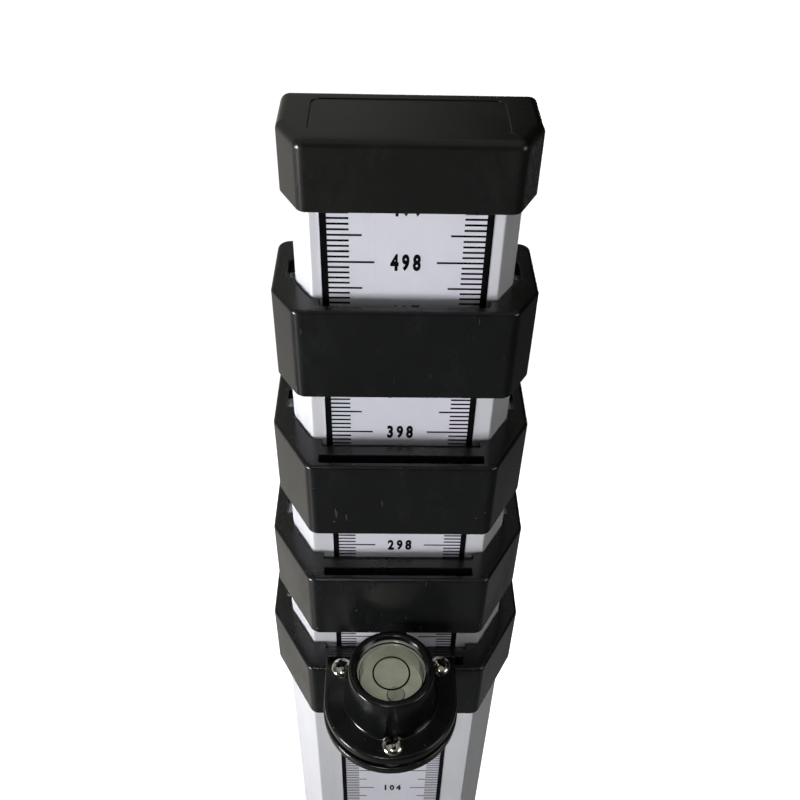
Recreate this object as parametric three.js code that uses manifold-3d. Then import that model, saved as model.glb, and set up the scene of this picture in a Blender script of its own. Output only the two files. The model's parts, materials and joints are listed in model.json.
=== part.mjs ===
// Telescopic leveling rod, five nested aluminium sections, fully collapsed.
// Units: millimetres. Origin at the centre of the foot's ground face.
// +Z up along the rod, +X across its width, -Y towards the front, where the circular level sits.
// Sections are numbered from 1, the outermost base tube, to 5, the innermost.
import * as THREE from 'three';
import { mergeVertices } from 'three/addons/utils/BufferGeometryUtils.js';
import Module from 'manifold-3d';

const wasm = await Module();
wasm.setup();
const { Manifold, Mesh: WasmMesh } = wasm;

// ---------------------------------------------------------------- driving dimensions
const STEP = 1.95;        // growth per side from one section to the next outer one
const WALL = 1.2;         // tube wall
const FIT = 0.15;         // gap round pieces that stay put on or in a tube
const GUIDE_GAP = 0.45;   // gap round a tube that slides through a collar
const END_GAP = 0.1;      // gap at a tube's end inside the shoe, a collar or the cap
const OVERSHOOT = 1;      // how far cutting tools run past a face

// Every cross-section has a flat front, sloping front corners and a flat back. The slopes
// run from the front edges at x = +-frontHalfWidth to the side edges at y = -sideEdge.
const INNERMOST = { halfWidth: 18.45, halfDepth: 6.80, frontHalfWidth: 15.46, sideEdge: 2.02 };
const SIDE_EDGE_SHIFT = 0.2877;    // shift of the side edge per mm of offset
const FRONT_EDGE_SHIFT = 0.5532;   // shift of the front edge per mm of offset

const FOOT = {
  plateTop: 2.0, plateMargin: 1.4,
  shoeBase: 2.05, shoeFloor: 6.0, shoeTop: 26.0, shoeMargin: 2.0,
  screwX: 15, screwY: 2.5,
};

// base: lower end of the tube; travel: from the section below; buttonY: lock button axis
const SECTION = {
  1: { base: FOOT.shoeFloor + END_GAP },
  2: { base: 11.35, travel: 869.0, buttonY: 2.4 },
  3: { base: 42.25, travel: 969.7, buttonY: 2.4 },
  4: { base: 72.75, travel: 969.5, buttonY: 2.4 },
  5: { base: 103.15, travel: 964.2, buttonY: 1.7 },
};

// side screws; up: height above the bottom of the collar or cap
const COLLAR_SCREW = {
  y: 4.6, up: 6.2, headRadius: 2.2, headDepth: 1.3, sinkRadius: 2.45, sinkDepth: 1.4,
};
const CAP_SCREW = {
  y: 2.6, up: 4.2, headRadius: 2.0, headDepth: 0.9, sinkRadius: 2.2, sinkDepth: 1.0,
};

// piece on the upper end of a tube; cover: thickness over the tube's end
const topPiece = (cover, screw, top, height, frontHalfWidth, halfWidth, front, sideEdge, back) =>
  ({ cover, screw, top, height, base: top - height, frontHalfWidth, halfWidth, front, sideEdge, back });
const collar = (...sizes) => topPiece(2.6, COLLAR_SCREW, ...sizes);

// columns: top z, height, front half width, half width, front, side edge, back
const TOP_PIECE = {
  1: collar(1108.9, 18.6, 19.25, 28.60, 19.97, 4.30, 16.80),
  2: collar(1139.2, 18.0, 17.85, 26.50, 18.35, 4.00, 14.85),
  3: collar(1170.1, 18.0, 17.05, 24.30, 16.64, 4.15, 12.90),
  4: collar(1200.6, 18.1, 18.30, 22.50, 11.00, 4.30, 10.98),
  5: topPiece(2.0, CAP_SCREW, 1229.55, 10.9, 16.40, 19.75, 9.48, 2.92, 7.95),
};

// slot in the top of the front wall of collars 1 to 3; inset: from the front to its middle
const SLOT = { lastCollar: 3, halfWidth: 15.1, inset: 2.4, halfThickness: 0.95, depth: 9.5 };

// lock buttons; up: axis height above the lower end of the tube; out: beyond the tube's side
const BUTTON = {
  up: 13.05, radius: 2.3, out: 0.6, taperLength: 0.5, endRadius: 1.7,
  flangeInset: 3.4, flangeThickness: 1.0, flangeRadius: 2.9,
  spigotLength: 4.0, spigotRadius: 1.4,
};
const SPRING = { turns: 7, radius: 2.15, wireHalf: 0.32, endGap: 0.1, stepsPerTurn: 10 };

const offsetOf = n => (5 - n) * STEP;
const halfWidthOf = n => INNERMOST.halfWidth + offsetOf(n);
const halfDepthOf = n => INNERMOST.halfDepth + offsetOf(n);
const buttonZ = n => SECTION[n].base + BUTTON.up;

// ---------------------------------------------------------------- outlines
// polygon with every corner replaced by an arc
function roundCorners(corners, radii, segments) {
  const count = corners.length;
  return corners.flatMap((xy, i) => {
    const radius = radii[i];
    const corner = new THREE.Vector2(...xy);
    const before = new THREE.Vector2(...corners[(i + count - 1) % count]).sub(corner).normalize();
    const after = new THREE.Vector2(...corners[(i + 1) % count]).sub(corner).normalize();
    const halfAngle = Math.acos(THREE.MathUtils.clamp(before.dot(after), -1, 1)) / 2;
    const tangent = radius / Math.tan(halfAngle);
    const bisector = before.clone().add(after).normalize();
    const centre = corner.clone().addScaledVector(bisector, radius / Math.sin(halfAngle));
    const start = corner.clone().addScaledVector(before, tangent).sub(centre);
    const end = corner.clone().addScaledVector(after, tangent).sub(centre);
    const startAngle = Math.atan2(start.y, start.x);
    let sweep = Math.atan2(end.y, end.x) - startAngle;
    if (sweep > Math.PI) sweep -= 2 * Math.PI;
    if (sweep < -Math.PI) sweep += 2 * Math.PI;
    return Array.from({ length: segments + 1 }, (_, k) => {
      const angle = startAngle + sweep * k / segments;
      return new THREE.Vector2(
        centre.x + radius * Math.cos(angle),
        centre.y + radius * Math.sin(angle),
      );
    });
  });
}

function sixSided(size, frontRadius, sideRadius, backRadius, segments) {
  const { frontHalfWidth, halfWidth, front, sideEdge, back } = size;
  return roundCorners([
    [-frontHalfWidth, -front], [frontHalfWidth, -front], [halfWidth, -sideEdge],
    [halfWidth, back], [-halfWidth, back], [-halfWidth, -sideEdge],
  ], [frontRadius, frontRadius, sideRadius, backRadius, backRadius, sideRadius], segments);
}

// tube outline, offset outwards from the innermost section's outer face
function tubeOutline(offset, edgeRadius, backRadius, segments = 2) {
  return sixSided({
    frontHalfWidth: INNERMOST.frontHalfWidth + FRONT_EDGE_SHIFT * offset,
    halfWidth: INNERMOST.halfWidth + offset,
    front: INNERMOST.halfDepth + offset,
    sideEdge: INNERMOST.sideEdge + SIDE_EDGE_SHIFT * offset,
    back: INNERMOST.halfDepth + offset,
  }, edgeRadius, edgeRadius, backRadius, segments);
}

// ---------------------------------------------------------------- solids
function toSolid(geometry) {
  geometry.deleteAttribute('normal');
  geometry.deleteAttribute('uv');
  const merged = mergeVertices(geometry, 1e-5);
  return new Manifold(new WasmMesh({
    numProp: 3,
    vertProperties: new Float32Array(merged.attributes.position.array),
    triVerts: new Uint32Array(merged.index.array),
  }));
}

function toGeometry(solid) {
  const mesh = solid.getMesh();
  const geometry = new THREE.BufferGeometry();
  const positions = new Float32Array(mesh.vertProperties);
  geometry.setAttribute('position', new THREE.BufferAttribute(positions, 3));
  geometry.setIndex(new THREE.BufferAttribute(new Uint32Array(mesh.triVerts), 1));
  geometry.computeVertexNormals();
  return geometry;
}

function prism(points, z0, z1) {
  const options = { depth: z1 - z0, bevelEnabled: false, steps: 1 };
  return toSolid(new THREE.ExtrudeGeometry(new THREE.Shape(points), options).translate(0, 0, z0));
}

function box(x0, x1, y0, y1, z0, z1) {
  const geometry = new THREE.BoxGeometry(x1 - x0, y1 - y0, z1 - z0);
  return toSolid(geometry.translate((x0 + x1) / 2, (y0 + y1) / 2, (z0 + z1) / 2));
}

// cylinder or cone along Z; endRadius applies at z1
function cylinderZ(radius, z0, z1, segments, { x = 0, y = 0, endRadius = radius } = {}) {
  const geometry = new THREE.CylinderGeometry(endRadius, radius, z1 - z0, segments);
  return toSolid(geometry.rotateX(Math.PI / 2).translate(x, y, (z0 + z1) / 2));
}

// cylinder or cone along X; endRadius applies at x1
function cylinderX(radius, x0, x1, segments, { y = 0, z = 0, endRadius = radius } = {}) {
  const geometry = new THREE.CylinderGeometry(endRadius, radius, x1 - x0, segments);
  return toSolid(geometry.rotateZ(-Math.PI / 2).translate((x0 + x1) / 2, y, z));
}

// solid of revolution about Z from [radius, z] points
function latheZ(profile, segments) {
  const points = profile.map(([radius, z]) => new THREE.Vector2(radius, z));
  return toSolid(new THREE.LatheGeometry(points, segments).rotateX(Math.PI / 2));
}

const mirrorX = solid => solid.mirror([1, 0, 0]);
const cutBothSides = (solid, tool) => solid.subtract(tool).subtract(mirrorX(tool));

function cutCrossZ(solid, armHalf, barHalf, z0, z1) {
  return solid
    .subtract(box(-armHalf, armHalf, -barHalf, barHalf, z0, z1))
    .subtract(box(-barHalf, barHalf, -armHalf, armHalf, z0, z1));
}

// pocket tool for a piece fixed on the outside of tube n
const tubePocket = (n, z0, z1) => prism(tubeOutline(offsetOf(n) + FIT, 0.7, 1.4), z0, z1);

// filling of tube n, with a gap to its inner face
const tubeInside = (n, gap, z0, z1) =>
  prism(tubeOutline(offsetOf(n) - WALL - gap, 0.5, 0.9), z0, z1);

// ---------------------------------------------------------------- materials
const standard = settings => new THREE.MeshStandardMaterial(settings);
const MATERIAL = {
  anodised: standard({ color: 0xd9dade, roughness: 0.38, metalness: 0.9 }),
  abs: standard({ color: 0x17181a, roughness: 0.32, metalness: 0 }),
  nylon: standard({ color: 0x26272a, roughness: 0.55, metalness: 0 }),
  steel: standard({ color: 0xb9b8b2, roughness: 0.3, metalness: 1 }),
  nickel: standard({ color: 0xd8cfb6, roughness: 0.22, metalness: 1 }),
  spring: standard({ color: 0xa6a8ab, roughness: 0.35, metalness: 1 }),
  rubber: standard({ color: 0x121212, roughness: 0.8, metalness: 0 }),
  blackSteel: standard({ color: 0x141517, roughness: 0.35, metalness: 0.3 }),
  acrylic: standard({
    color: 0xe9f0ea, roughness: 0.06, metalness: 0, transparent: true, opacity: 0.4,
  }),
  fluid: standard({ color: 0xc9d6bf, roughness: 0.1, metalness: 0 }),
  cup: standard({ color: 0xe4e7df, roughness: 0.4, metalness: 0 }),
  bubble: standard({ color: 0xeef2ea, roughness: 0.1, metalness: 0 }),
};

const rod = new THREE.Group();

function add(name, solid, material, [x, y, z] = [0, 0, 0], parent = rod) {
  const mesh = new THREE.Mesh(toGeometry(solid), material);
  mesh.name = name;
  mesh.position.set(x, y, z);
  parent.add(mesh);
  return mesh;
}

// ---------------------------------------------------------------- tubes
function addTube(n) {
  const { base } = SECTION[n];
  const { top, cover, base: pieceBase, screw } = TOP_PIECE[n];
  const length = top - cover - END_GAP - base;
  const reach = halfWidthOf(n) + OVERSHOOT;
  const crossHole = (radius, y, z, segments) =>
    cylinderX(radius, -reach, reach, segments, { y, z: z - base });

  let body = prism(tubeOutline(offsetOf(n), 0.7, 1.5), 0, length)
    .subtract(tubeInside(n, 0, -OVERSHOOT, length + OVERSHOOT));
  if (n > 1) {
    body = body.subtract(crossHole(BUTTON.radius + 0.2, SECTION[n].buttonY, buttonZ(n), 16));
  }
  // lock holes that the next section's buttons drop into when it is pulled right out
  if (n < 5) {
    const { buttonY, travel } = SECTION[n + 1];
    body = body.subtract(crossHole(BUTTON.radius + 0.3, buttonY, buttonZ(n + 1) + travel, 16));
  }
  // screw holes under the collar or cap
  body = body.subtract(crossHole(1.25, screw.y, pieceBase + screw.up, 10));
  add(n === 1 ? 'base_tube' : `section_${n}_tube`, body, MATERIAL.anodised, [0, 0, base]);
}

// ---------------------------------------------------------------- collars and cap
function cutSideScrewHoles(body, { halfWidth, screw }) {
  const axis = { y: screw.y, z: screw.up };
  const radius = 1.35;
  const sink = cylinderX(radius, halfWidth - screw.sinkDepth, halfWidth + 0.1, 14,
    { ...axis, endRadius: screw.sinkRadius });
  return cutBothSides(body, cylinderX(radius, halfWidth - 6, halfWidth, 12, axis).add(sink));
}

// flat-head screw along X, outer face of the head at x = 0, shank towards -X
function sideScrew({ headRadius, headDepth }, length) {
  const shankRadius = 1.1;
  const armHalf = headRadius * 0.62;
  const barHalf = 0.28;
  return cylinderX(shankRadius, -length, -headDepth + 0.05, 10)
    .add(cylinderX(shankRadius, -headDepth, 0, 14, { endRadius: headRadius }))
    .subtract(box(-0.7, 0.2, -armHalf, armHalf, -barHalf, barHalf))
    .subtract(box(-0.7, 0.2, -barHalf, barHalf, -armHalf, armHalf));
}

function addSideScrews(name, n) {
  const { screw, halfWidth, base } = TOP_PIECE[n];
  const solid = sideScrew(screw, halfWidth - halfWidthOf(n) + 1.0);
  const x = halfWidth - 0.02;
  const z = base + screw.up;
  add(`${name}_screw_right`, solid, MATERIAL.steel, [x, screw.y, z]);
  add(`${name}_screw_left`, solid, MATERIAL.steel, [-x, screw.y, z]).rotation.z = Math.PI;
}

function addCollar(n) {
  const size = TOP_PIECE[n];
  const { height, cover, front } = size;
  const above = height + OVERSHOOT;
  const next = n + 1;   // the section that slides through
  const guide = tubeOutline(offsetOf(next) + GUIDE_GAP, 0.8, 1.2);
  let body = prism(sixSided(size, 1.6, 2.0, 2.2, 3), 0, height)
    .subtract(tubePocket(n, -OVERSHOOT, height - cover))
    .subtract(prism(guide, -OVERSHOOT, above));

  // shallow recess in front of the sliding tube
  const tubeFront = halfDepthOf(next);
  body = body.subtract(
    box(-15.2, 15.2, -(tubeFront + 2.25), -(tubeFront - 0.5), height - 1.6, above));

  // side notches the lock buttons pass through
  const guideSide = halfWidthOf(next) + GUIDE_GAP;
  const notchHalf = 2.65;
  const { buttonY } = SECTION[next];
  body = cutBothSides(body, box(guideSide - 0.6, guideSide + 1.15,
    buttonY - notchHalf, buttonY + notchHalf, height - cover - OVERSHOOT, above));

  if (n <= SLOT.lastCollar) {
    const slotY = SLOT.inset - front;
    body = body.subtract(box(-SLOT.halfWidth, SLOT.halfWidth,
      slotY - SLOT.halfThickness, slotY + SLOT.halfThickness, height - SLOT.depth, above));
  }
  const name = `collar_${n}`;
  add(name, cutSideScrewHoles(body, size), MATERIAL.abs, [0, 0, size.base]);
  addSideScrews(name, n);
}

function addCap() {
  const size = TOP_PIECE[5];
  const { height, cover, base } = size;
  const panel = roundCorners(
    [[-14.9, -6.4], [14.9, -6.4], [14.9, 5.2], [-14.9, 5.2]], [1.6, 1.6, 1.6, 1.6], 3);
  const body = prism(sixSided(size, 1.4, 1.6, 1.6, 3), 0, height)
    .subtract(tubePocket(5, -OVERSHOOT, height - cover))
    .subtract(prism(panel, height - 0.5, height + OVERSHOOT));
  add('top_cap', cutSideScrewHoles(body, size), MATERIAL.abs, [0, 0, base]);
  addSideScrews('top_cap', 5);
}

// ---------------------------------------------------------------- end blocks and lock buttons
// flange under the tube's lower end, body up inside the tube
function addEndBlock(n) {
  const top = 27.2;
  const halfWidth = halfWidthOf(n);
  const reach = halfWidth + OVERSHOOT;
  const pocketY = halfDepthOf(n) - WALL - FIT - 2.0;
  const block = prism(tubeOutline(offsetOf(n) + 0.5, 0.8, 1.6), -3.05, -0.1)
    .add(tubeInside(n, FIT, -0.5, top))
    .subtract(cylinderX(3.1, -reach, reach, 18, { y: SECTION[n].buttonY, z: BUTTON.up }));
  // two pockets, open at the top
  const pocket = box(2.0, halfWidth - 6.5, -pocketY, pocketY, 18.2, top + OVERSHOOT);
  const name = `section_${n}_end_block`;
  add(name, cutBothSides(block, pocket), MATERIAL.nylon, [0, 0, SECTION[n].base]);
}

// head through the tube wall, flange behind the wall, spigot inside the spring
function addButtons(n) {
  const axis = { y: SECTION[n].buttonY };
  const tip = halfWidthOf(n) + BUTTON.out;
  const taper = tip - BUTTON.taperLength;
  const flangeOuter = halfWidthOf(n) - BUTTON.flangeInset;
  const flangeInner = flangeOuter - BUTTON.flangeThickness;
  const spigotEnd = flangeInner - BUTTON.spigotLength;
  const button = cylinderX(BUTTON.radius, flangeOuter - 0.2, taper, 16, axis)
    .add(cylinderX(BUTTON.radius, taper, tip, 16, { ...axis, endRadius: BUTTON.endRadius }))
    .add(cylinderX(BUTTON.flangeRadius, flangeInner, flangeOuter, 16, axis))
    .add(cylinderX(BUTTON.spigotRadius, spigotEnd, flangeInner + 0.1, 12, axis));
  const position = [0, 0, buttonZ(n)];
  add(`section_${n}_button_right`, button, MATERIAL.nickel, position);
  add(`section_${n}_button_left`, mirrorX(button), MATERIAL.nickel, position);
}

// helix along X
class Coil extends THREE.Curve {
  constructor(halfLength) {
    super();
    this.halfLength = halfLength;
  }

  getPoint(t, target = new THREE.Vector3()) {
    const angle = t * SPRING.turns * 2 * Math.PI;
    return target.set(
      (2 * t - 1) * this.halfLength,
      SPRING.radius * Math.cos(angle),
      SPRING.radius * Math.sin(angle),
    );
  }
}

// square-wire compression spring between the two button flanges
function addSpring(n) {
  const { wireHalf: half, endGap, turns, stepsPerTurn } = SPRING;
  const flangeInner = halfWidthOf(n) - BUTTON.flangeInset - BUTTON.flangeThickness;
  const corners = [[-half, -half], [half, -half], [half, half], [-half, half]];
  const wire = new THREE.Shape(corners.map(([x, y]) => new THREE.Vector2(x, y)));
  const coil = new THREE.ExtrudeGeometry(wire, {
    steps: turns * stepsPerTurn,
    extrudePath: new Coil(flangeInner - half - endGap),
    bevelEnabled: false,
  });
  const position = [0, SECTION[n].buttonY, buttonZ(n)];
  add(`section_${n}_button_spring`, toSolid(coil), MATERIAL.spring, position);
}

// ---------------------------------------------------------------- foot
function addFoot() {
  const { plateTop, shoeBase, shoeFloor, shoeTop, screwX, screwY } = FOOT;
  const spot = { x: screwX, y: screwY };

  const shoe = prism(tubeOutline(offsetOf(1) + FOOT.shoeMargin, 1.4, 3.0, 3), shoeBase, shoeTop)
    .subtract(tubePocket(1, shoeFloor, shoeTop + OVERSHOOT));
  add('foot_shoe', cutBothSides(shoe, cylinderZ(1.65, 1.5, 5.2, 12, spot)), MATERIAL.abs);

  let plate = prism(tubeOutline(offsetOf(1) + FOOT.plateMargin, 1.2, 2.6, 3), 0, plateTop);
  plate = cutBothSides(plate, cylinderZ(3.2, -0.01, 1.55, 18, { ...spot, endRadius: 1.7 }));
  plate = cutBothSides(plate, cylinderZ(1.7, 1.5, plateTop + 0.5, 18, spot));
  add('foot_plate', plate, MATERIAL.steel);

  // countersunk screws, heads down
  const body = cylinderZ(3.0, 0.12, 1.5, 18, { endRadius: 1.5 })
    .add(cylinderZ(1.5, 1.45, 5.0, 14));
  const screw = cutCrossZ(body, 1.9, 0.4, 0, 1.1);
  add('foot_screw_left', screw, MATERIAL.steel, [-screwX, screwY, 0]);
  add('foot_screw_right', screw, MATERIAL.steel, [screwX, screwY, 0]);
}

// ---------------------------------------------------------------- circular level
// Pieces are placed relative to the level's vertical axis, at (x, y).
const LEVEL = {
  x: -1.25, y: -29.5, rearY: -19.75, top: 1125.4,
  plateThickness: 2.0, gap: 1.4, flangeThickness: 2.2, flangeRadius: 14.05,
  barrelRadius: 8.8, windowRadius: 7.0, vialRadius: 7.3,
};
const LEVEL_REAR = LEVEL.rearY - LEVEL.y;
const PLATE_Z = TOP_PIECE[1].top + 0.05;   // just above the lowest collar
const FLANGE_Z = PLATE_Z + LEVEL.plateThickness + LEVEL.gap;
const VIAL_Z = LEVEL.top - 8.9;
const LEVEL_SCREWS = { left: [-10.5, 6.2], right: [10.6, 6.8], front: [0.4, -11.2] };

const level = new THREE.Group();
level.position.set(LEVEL.x, LEVEL.y, 0);
const addToLevel = (name, solid, material, z, [x, y] = [0, 0]) =>
  add(`level_${name}`, solid, material, [x, y, z], level);

// slab with a half-round front and a straight rear edge
function levelSlab(thickness) {
  const radius = LEVEL.flangeRadius;
  const segments = 24;
  const points = Array.from({ length: segments + 1 }, (_, i) => {
    const angle = Math.PI + Math.PI * i / segments;
    return new THREE.Vector2(radius * Math.cos(angle), radius * Math.sin(angle));
  });
  points.push(new THREE.Vector2(radius, LEVEL_REAR), new THREE.Vector2(-radius, LEVEL_REAR));
  return prism(points, 0, thickness);
}

// support plate, with a tongue bent down into the lowest collar's slot
function addLevelPlate() {
  const thickness = LEVEL.plateThickness;
  const slotY = SLOT.inset - TOP_PIECE[1].front - LEVEL.y;
  const tongueX = 13.4;
  const tongueHalf = 0.75;
  const tongueBack = slotY + tongueHalf;
  let plate = levelSlab(thickness)
    .add(box(-tongueX, tongueX, LEVEL_REAR - 1, tongueBack, 0, thickness))
    .add(box(-tongueX, tongueX, slotY - tongueHalf, tongueBack, -8.0, thickness));
  for (const [x, y] of Object.values(LEVEL_SCREWS)) {
    plate = plate.subtract(cylinderZ(1.3, -OVERSHOOT, thickness + OVERSHOOT, 12, { x, y }));
  }
  addToLevel('plate', plate, MATERIAL.blackSteel, PLATE_Z);
}

// barrel on a flange, scalloped to clear the screw heads
function addLevelHousing() {
  const { barrelRadius: radius, flangeThickness: flange, vialRadius, windowRadius } = LEVEL;
  const height = LEVEL.top - FLANGE_Z;
  const above = height + OVERSHOOT;
  const barrel = latheZ([
    [0, 0.2], [radius + 1.5, 0.2], [radius + 1.4, flange + 0.3],
    [radius + 0.9, flange + 1.2], [radius + 0.4, flange + 4],
    [radius, height - 0.5], [radius - 0.35, height], [0, height],
  ], 32);
  let housing = levelSlab(flange).add(barrel);
  for (const [x, y] of Object.values(LEVEL_SCREWS)) {
    housing = housing
      .subtract(cylinderZ(2.45, flange, above, 16, { x, y }))
      .subtract(cylinderZ(1.4, -OVERSHOOT, flange + OVERSHOOT, 12, { x, y }));
  }
  housing = housing
    .subtract(cylinderZ(vialRadius + 0.1, -OVERSHOOT, height - 0.7, 32))
    .subtract(cylinderZ(windowRadius, -OVERSHOOT, above, 32));
  addToLevel('housing', housing, MATERIAL.abs, FLANGE_Z);
}

// cup with its floor, fluid with a pit for the bubble, and clear lens
function addVial() {
  const radius = LEVEL.vialRadius;
  const bubbleSpot = { x: 0.9, y: -4.6 };
  const cup = cylinderZ(radius, 0, 6.4, 32).subtract(cylinderZ(6.7, 1.2, 8, 32));
  const pit = cylinderZ(1.0, 5.55, 6.5, 18, { ...bubbleSpot, endRadius: 1.95 });
  const fluid = cylinderZ(6.6, 1.3, 6.35, 32).subtract(pit);
  const bubble = cylinderZ(0.95, 5.62, 6.35, 18, { ...bubbleSpot, endRadius: 1.8 });
  const lens = cylinderZ(radius, 6.45, 8.1, 32);
  addToLevel('vial_cup', cup, MATERIAL.cup, VIAL_Z);
  addToLevel('vial_fluid', fluid, MATERIAL.fluid, VIAL_Z);
  addToLevel('vial_bubble', bubble, MATERIAL.bubble, VIAL_Z);
  addToLevel('vial_lens', lens, MATERIAL.acrylic, VIAL_Z);
}

// adjusting screws, and rubber spacers between plate and flange
function addLevelScrews() {
  const head = LEVEL.flangeThickness + 0.05;
  const body = latheZ([
    [0, -6.2], [1.2, -6.2], [1.2, head], [2.1, head], [2.1, head + 0.7],
    [1.75, head + 1.3], [1.0, head + 1.65], [0, head + 1.7],
  ], 16);
  const screw = cutCrossZ(body, 1.35, 0.3, head + 0.6, head + 3);
  const spacer = cylinderZ(2.6, -LEVEL.gap + 0.04, -0.04, 16).subtract(cylinderZ(1.45, -3, 3, 12));
  for (const [name, spot] of Object.entries(LEVEL_SCREWS)) {
    addToLevel(`screw_${name}`, screw, MATERIAL.nickel, FLANGE_Z, spot);
    addToLevel(`spacer_${name}`, spacer, MATERIAL.rubber, FLANGE_Z, spot);
  }
}

// ---------------------------------------------------------------- assembly
for (let n = 1; n <= 5; n++) addTube(n);
for (let n = 1; n <= 4; n++) addCollar(n);
addCap();
for (let n = 2; n <= 5; n++) {
  addEndBlock(n);
  addButtons(n);
  addSpring(n);
}
addFoot();
rod.add(level);
addLevelPlate();
addLevelHousing();
addVial();
addLevelScrews();

export default rod;
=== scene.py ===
# Telescopic leveling rod: five nested tube sections with collars, lock buttons, foot, top cap,
# circular level and printed scales.  The rod stands along +Z on the floor.  Its front, with the
# millimetre scale and the level, faces -Y.  The block scale is on the back, +Y.
# Lengths are in millimetres until place() puts a piece into the scene in metres.
import json
import math
from collections import namedtuple

import bmesh
import bpy
import numpy as np
from mathutils import Matrix, Vector

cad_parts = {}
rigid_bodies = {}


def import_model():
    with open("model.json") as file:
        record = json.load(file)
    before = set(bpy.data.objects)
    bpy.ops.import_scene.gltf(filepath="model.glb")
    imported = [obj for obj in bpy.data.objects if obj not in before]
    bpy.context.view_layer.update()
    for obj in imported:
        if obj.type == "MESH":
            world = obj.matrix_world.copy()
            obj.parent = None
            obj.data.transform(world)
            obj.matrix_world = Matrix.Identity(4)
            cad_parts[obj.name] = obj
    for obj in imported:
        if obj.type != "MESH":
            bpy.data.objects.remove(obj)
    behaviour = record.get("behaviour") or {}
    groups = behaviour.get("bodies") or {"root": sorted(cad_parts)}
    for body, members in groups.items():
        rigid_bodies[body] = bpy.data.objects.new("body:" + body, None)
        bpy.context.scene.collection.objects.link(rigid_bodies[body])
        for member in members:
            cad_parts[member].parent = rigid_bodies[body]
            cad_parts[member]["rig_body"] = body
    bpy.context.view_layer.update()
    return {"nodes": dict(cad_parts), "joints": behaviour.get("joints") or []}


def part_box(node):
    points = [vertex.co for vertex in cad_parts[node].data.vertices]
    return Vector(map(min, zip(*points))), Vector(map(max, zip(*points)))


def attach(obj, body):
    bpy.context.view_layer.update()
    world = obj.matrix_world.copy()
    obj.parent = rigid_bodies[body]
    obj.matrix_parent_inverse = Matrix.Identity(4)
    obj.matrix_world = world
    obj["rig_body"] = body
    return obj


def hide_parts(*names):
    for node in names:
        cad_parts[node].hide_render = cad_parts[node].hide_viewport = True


MM = 0.001

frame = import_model()
NODES = frame["nodes"]
NODE_BODY = {name: node["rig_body"] for name, node in NODES.items()}


def box(node):
    """Lowest and highest corner of a frame piece."""
    lo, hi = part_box(node)
    return lo / MM, hi / MM


def mid(node):
    lo, hi = box(node)
    return (lo + hi) / 2


# ------------------------------------------------------------------ sections
# Section 1 is the base and the outermost tube, section 5 the innermost.
SECTIONS = (1, 2, 3, 4, 5)
MOVING = SECTIONS[1:]
BODY = {n: "base" if n == 1 else f"section_{n}" for n in SECTIONS}
STEP = 1.95                 # growth of the half width and half depth from one tube to the next
WALL = 1.2                  # tube wall
FIT = 0.15                  # clearance between mating parts
INNER_HALF_WIDTH, INNER_HALF_DEPTH = box("section_5_tube")[1].xy
INNER_FRONT_HALF = 15.46    # half width of the innermost tube's flat front
INNER_SIDE_FRONT = 2.02     # depth, in front of the axis, where its sides turn to the front
SIDE_GROWTH, FRONT_GROWTH = 0.2877, 0.5532      # growth of those two per unit of offset
BUTTON_RADIUS = 2.3
BUTTON = {n: mid(f"section_{n}_button_right") for n in MOVING}      # y and z of each pair's axis

TRAVEL = {}                 # how far each section slides out
for joint in frame["joints"]:
    if joint["name"].startswith("section_"):
        TRAVEL[int(joint["name"].split("_")[1])] = joint["range_m"][1] / MM
DATUM = {1: 0.0}            # scale reading at z = 0 of each section
for n in MOVING:
    DATUM[n] = DATUM[n - 1] + TRAVEL[n]


def offset_of(n):
    """How far the tube of section n stands outside the innermost one."""
    return (5 - n) * STEP


def tube_corners(offset):
    half_width = INNER_HALF_WIDTH + offset
    half_depth = INNER_HALF_DEPTH + offset
    front = INNER_FRONT_HALF + FRONT_GROWTH * offset
    side = INNER_SIDE_FRONT + SIDE_GROWTH * offset
    return [(-front, -half_depth), (front, -half_depth), (half_width, -side),
            (half_width, half_depth), (-half_width, half_depth), (-half_width, -side)]


def corner_radii(front, back):
    """Radii for tube_corners: four front corners and two back ones."""
    return [front] * 3 + [back] * 2 + [front]


# ------------------------------------------------------------------ outlines
def rounded(corners, radii, segments):
    """Polygon with each corner turned into an arc of its own radius."""
    points = []
    count = len(corners)
    for i, radius in enumerate(radii):
        corner = np.array(corners[i], float)
        if radius <= 1e-6:
            points.append(tuple(corner))
            continue
        before = np.array(corners[i - 1], float) - corner
        after = np.array(corners[(i + 1) % count], float) - corner
        u = before / np.linalg.norm(before)
        v = after / np.linalg.norm(after)
        half = math.acos(max(-1, min(1, float(u @ v)))) / 2
        tangent = radius / math.tan(half)
        bisector = u + v
        centre = corner + bisector / np.linalg.norm(bisector) * (radius / math.sin(half))
        start = corner + u * tangent - centre
        end = corner + v * tangent - centre
        first = math.atan2(start[1], start[0])
        last = math.atan2(end[1], end[0])
        sweep = (last - first + math.pi) % (2 * math.pi) - math.pi
        for k in range(segments + 1):
            angle = first + sweep * k / segments
            points.append((centre[0] + radius * math.cos(angle),
                           centre[1] + radius * math.sin(angle)))
    return points


def grow(corners, distance):
    """Convex counter-clockwise polygon with every side moved out by distance."""
    count = len(corners)
    grown = []
    for i in range(count):
        before, corner, after = (np.array(corners[k % count], float) for k in (i - 1, i, i + 1))
        edge0, edge1 = corner - before, after - corner
        normal0 = np.array([edge0[1], -edge0[0]]) / np.linalg.norm(edge0)
        normal1 = np.array([edge1[1], -edge1[0]]) / np.linalg.norm(edge1)
        shift = (normal0 + normal1) * distance / (1 + float(normal0 @ normal1))
        grown.append(tuple(corner + shift))
    return grown


def ring(corners, radii, distance, segments):
    """Rounded outline moved out by distance, its radii growing with it."""
    return rounded(grow(corners, distance), [max(r + distance, 0.04) for r in radii], segments)


def rect(x0, x1, y0, y1):
    return [(x0, y0), (x1, y0), (x1, y1), (x0, y1)]


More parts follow.
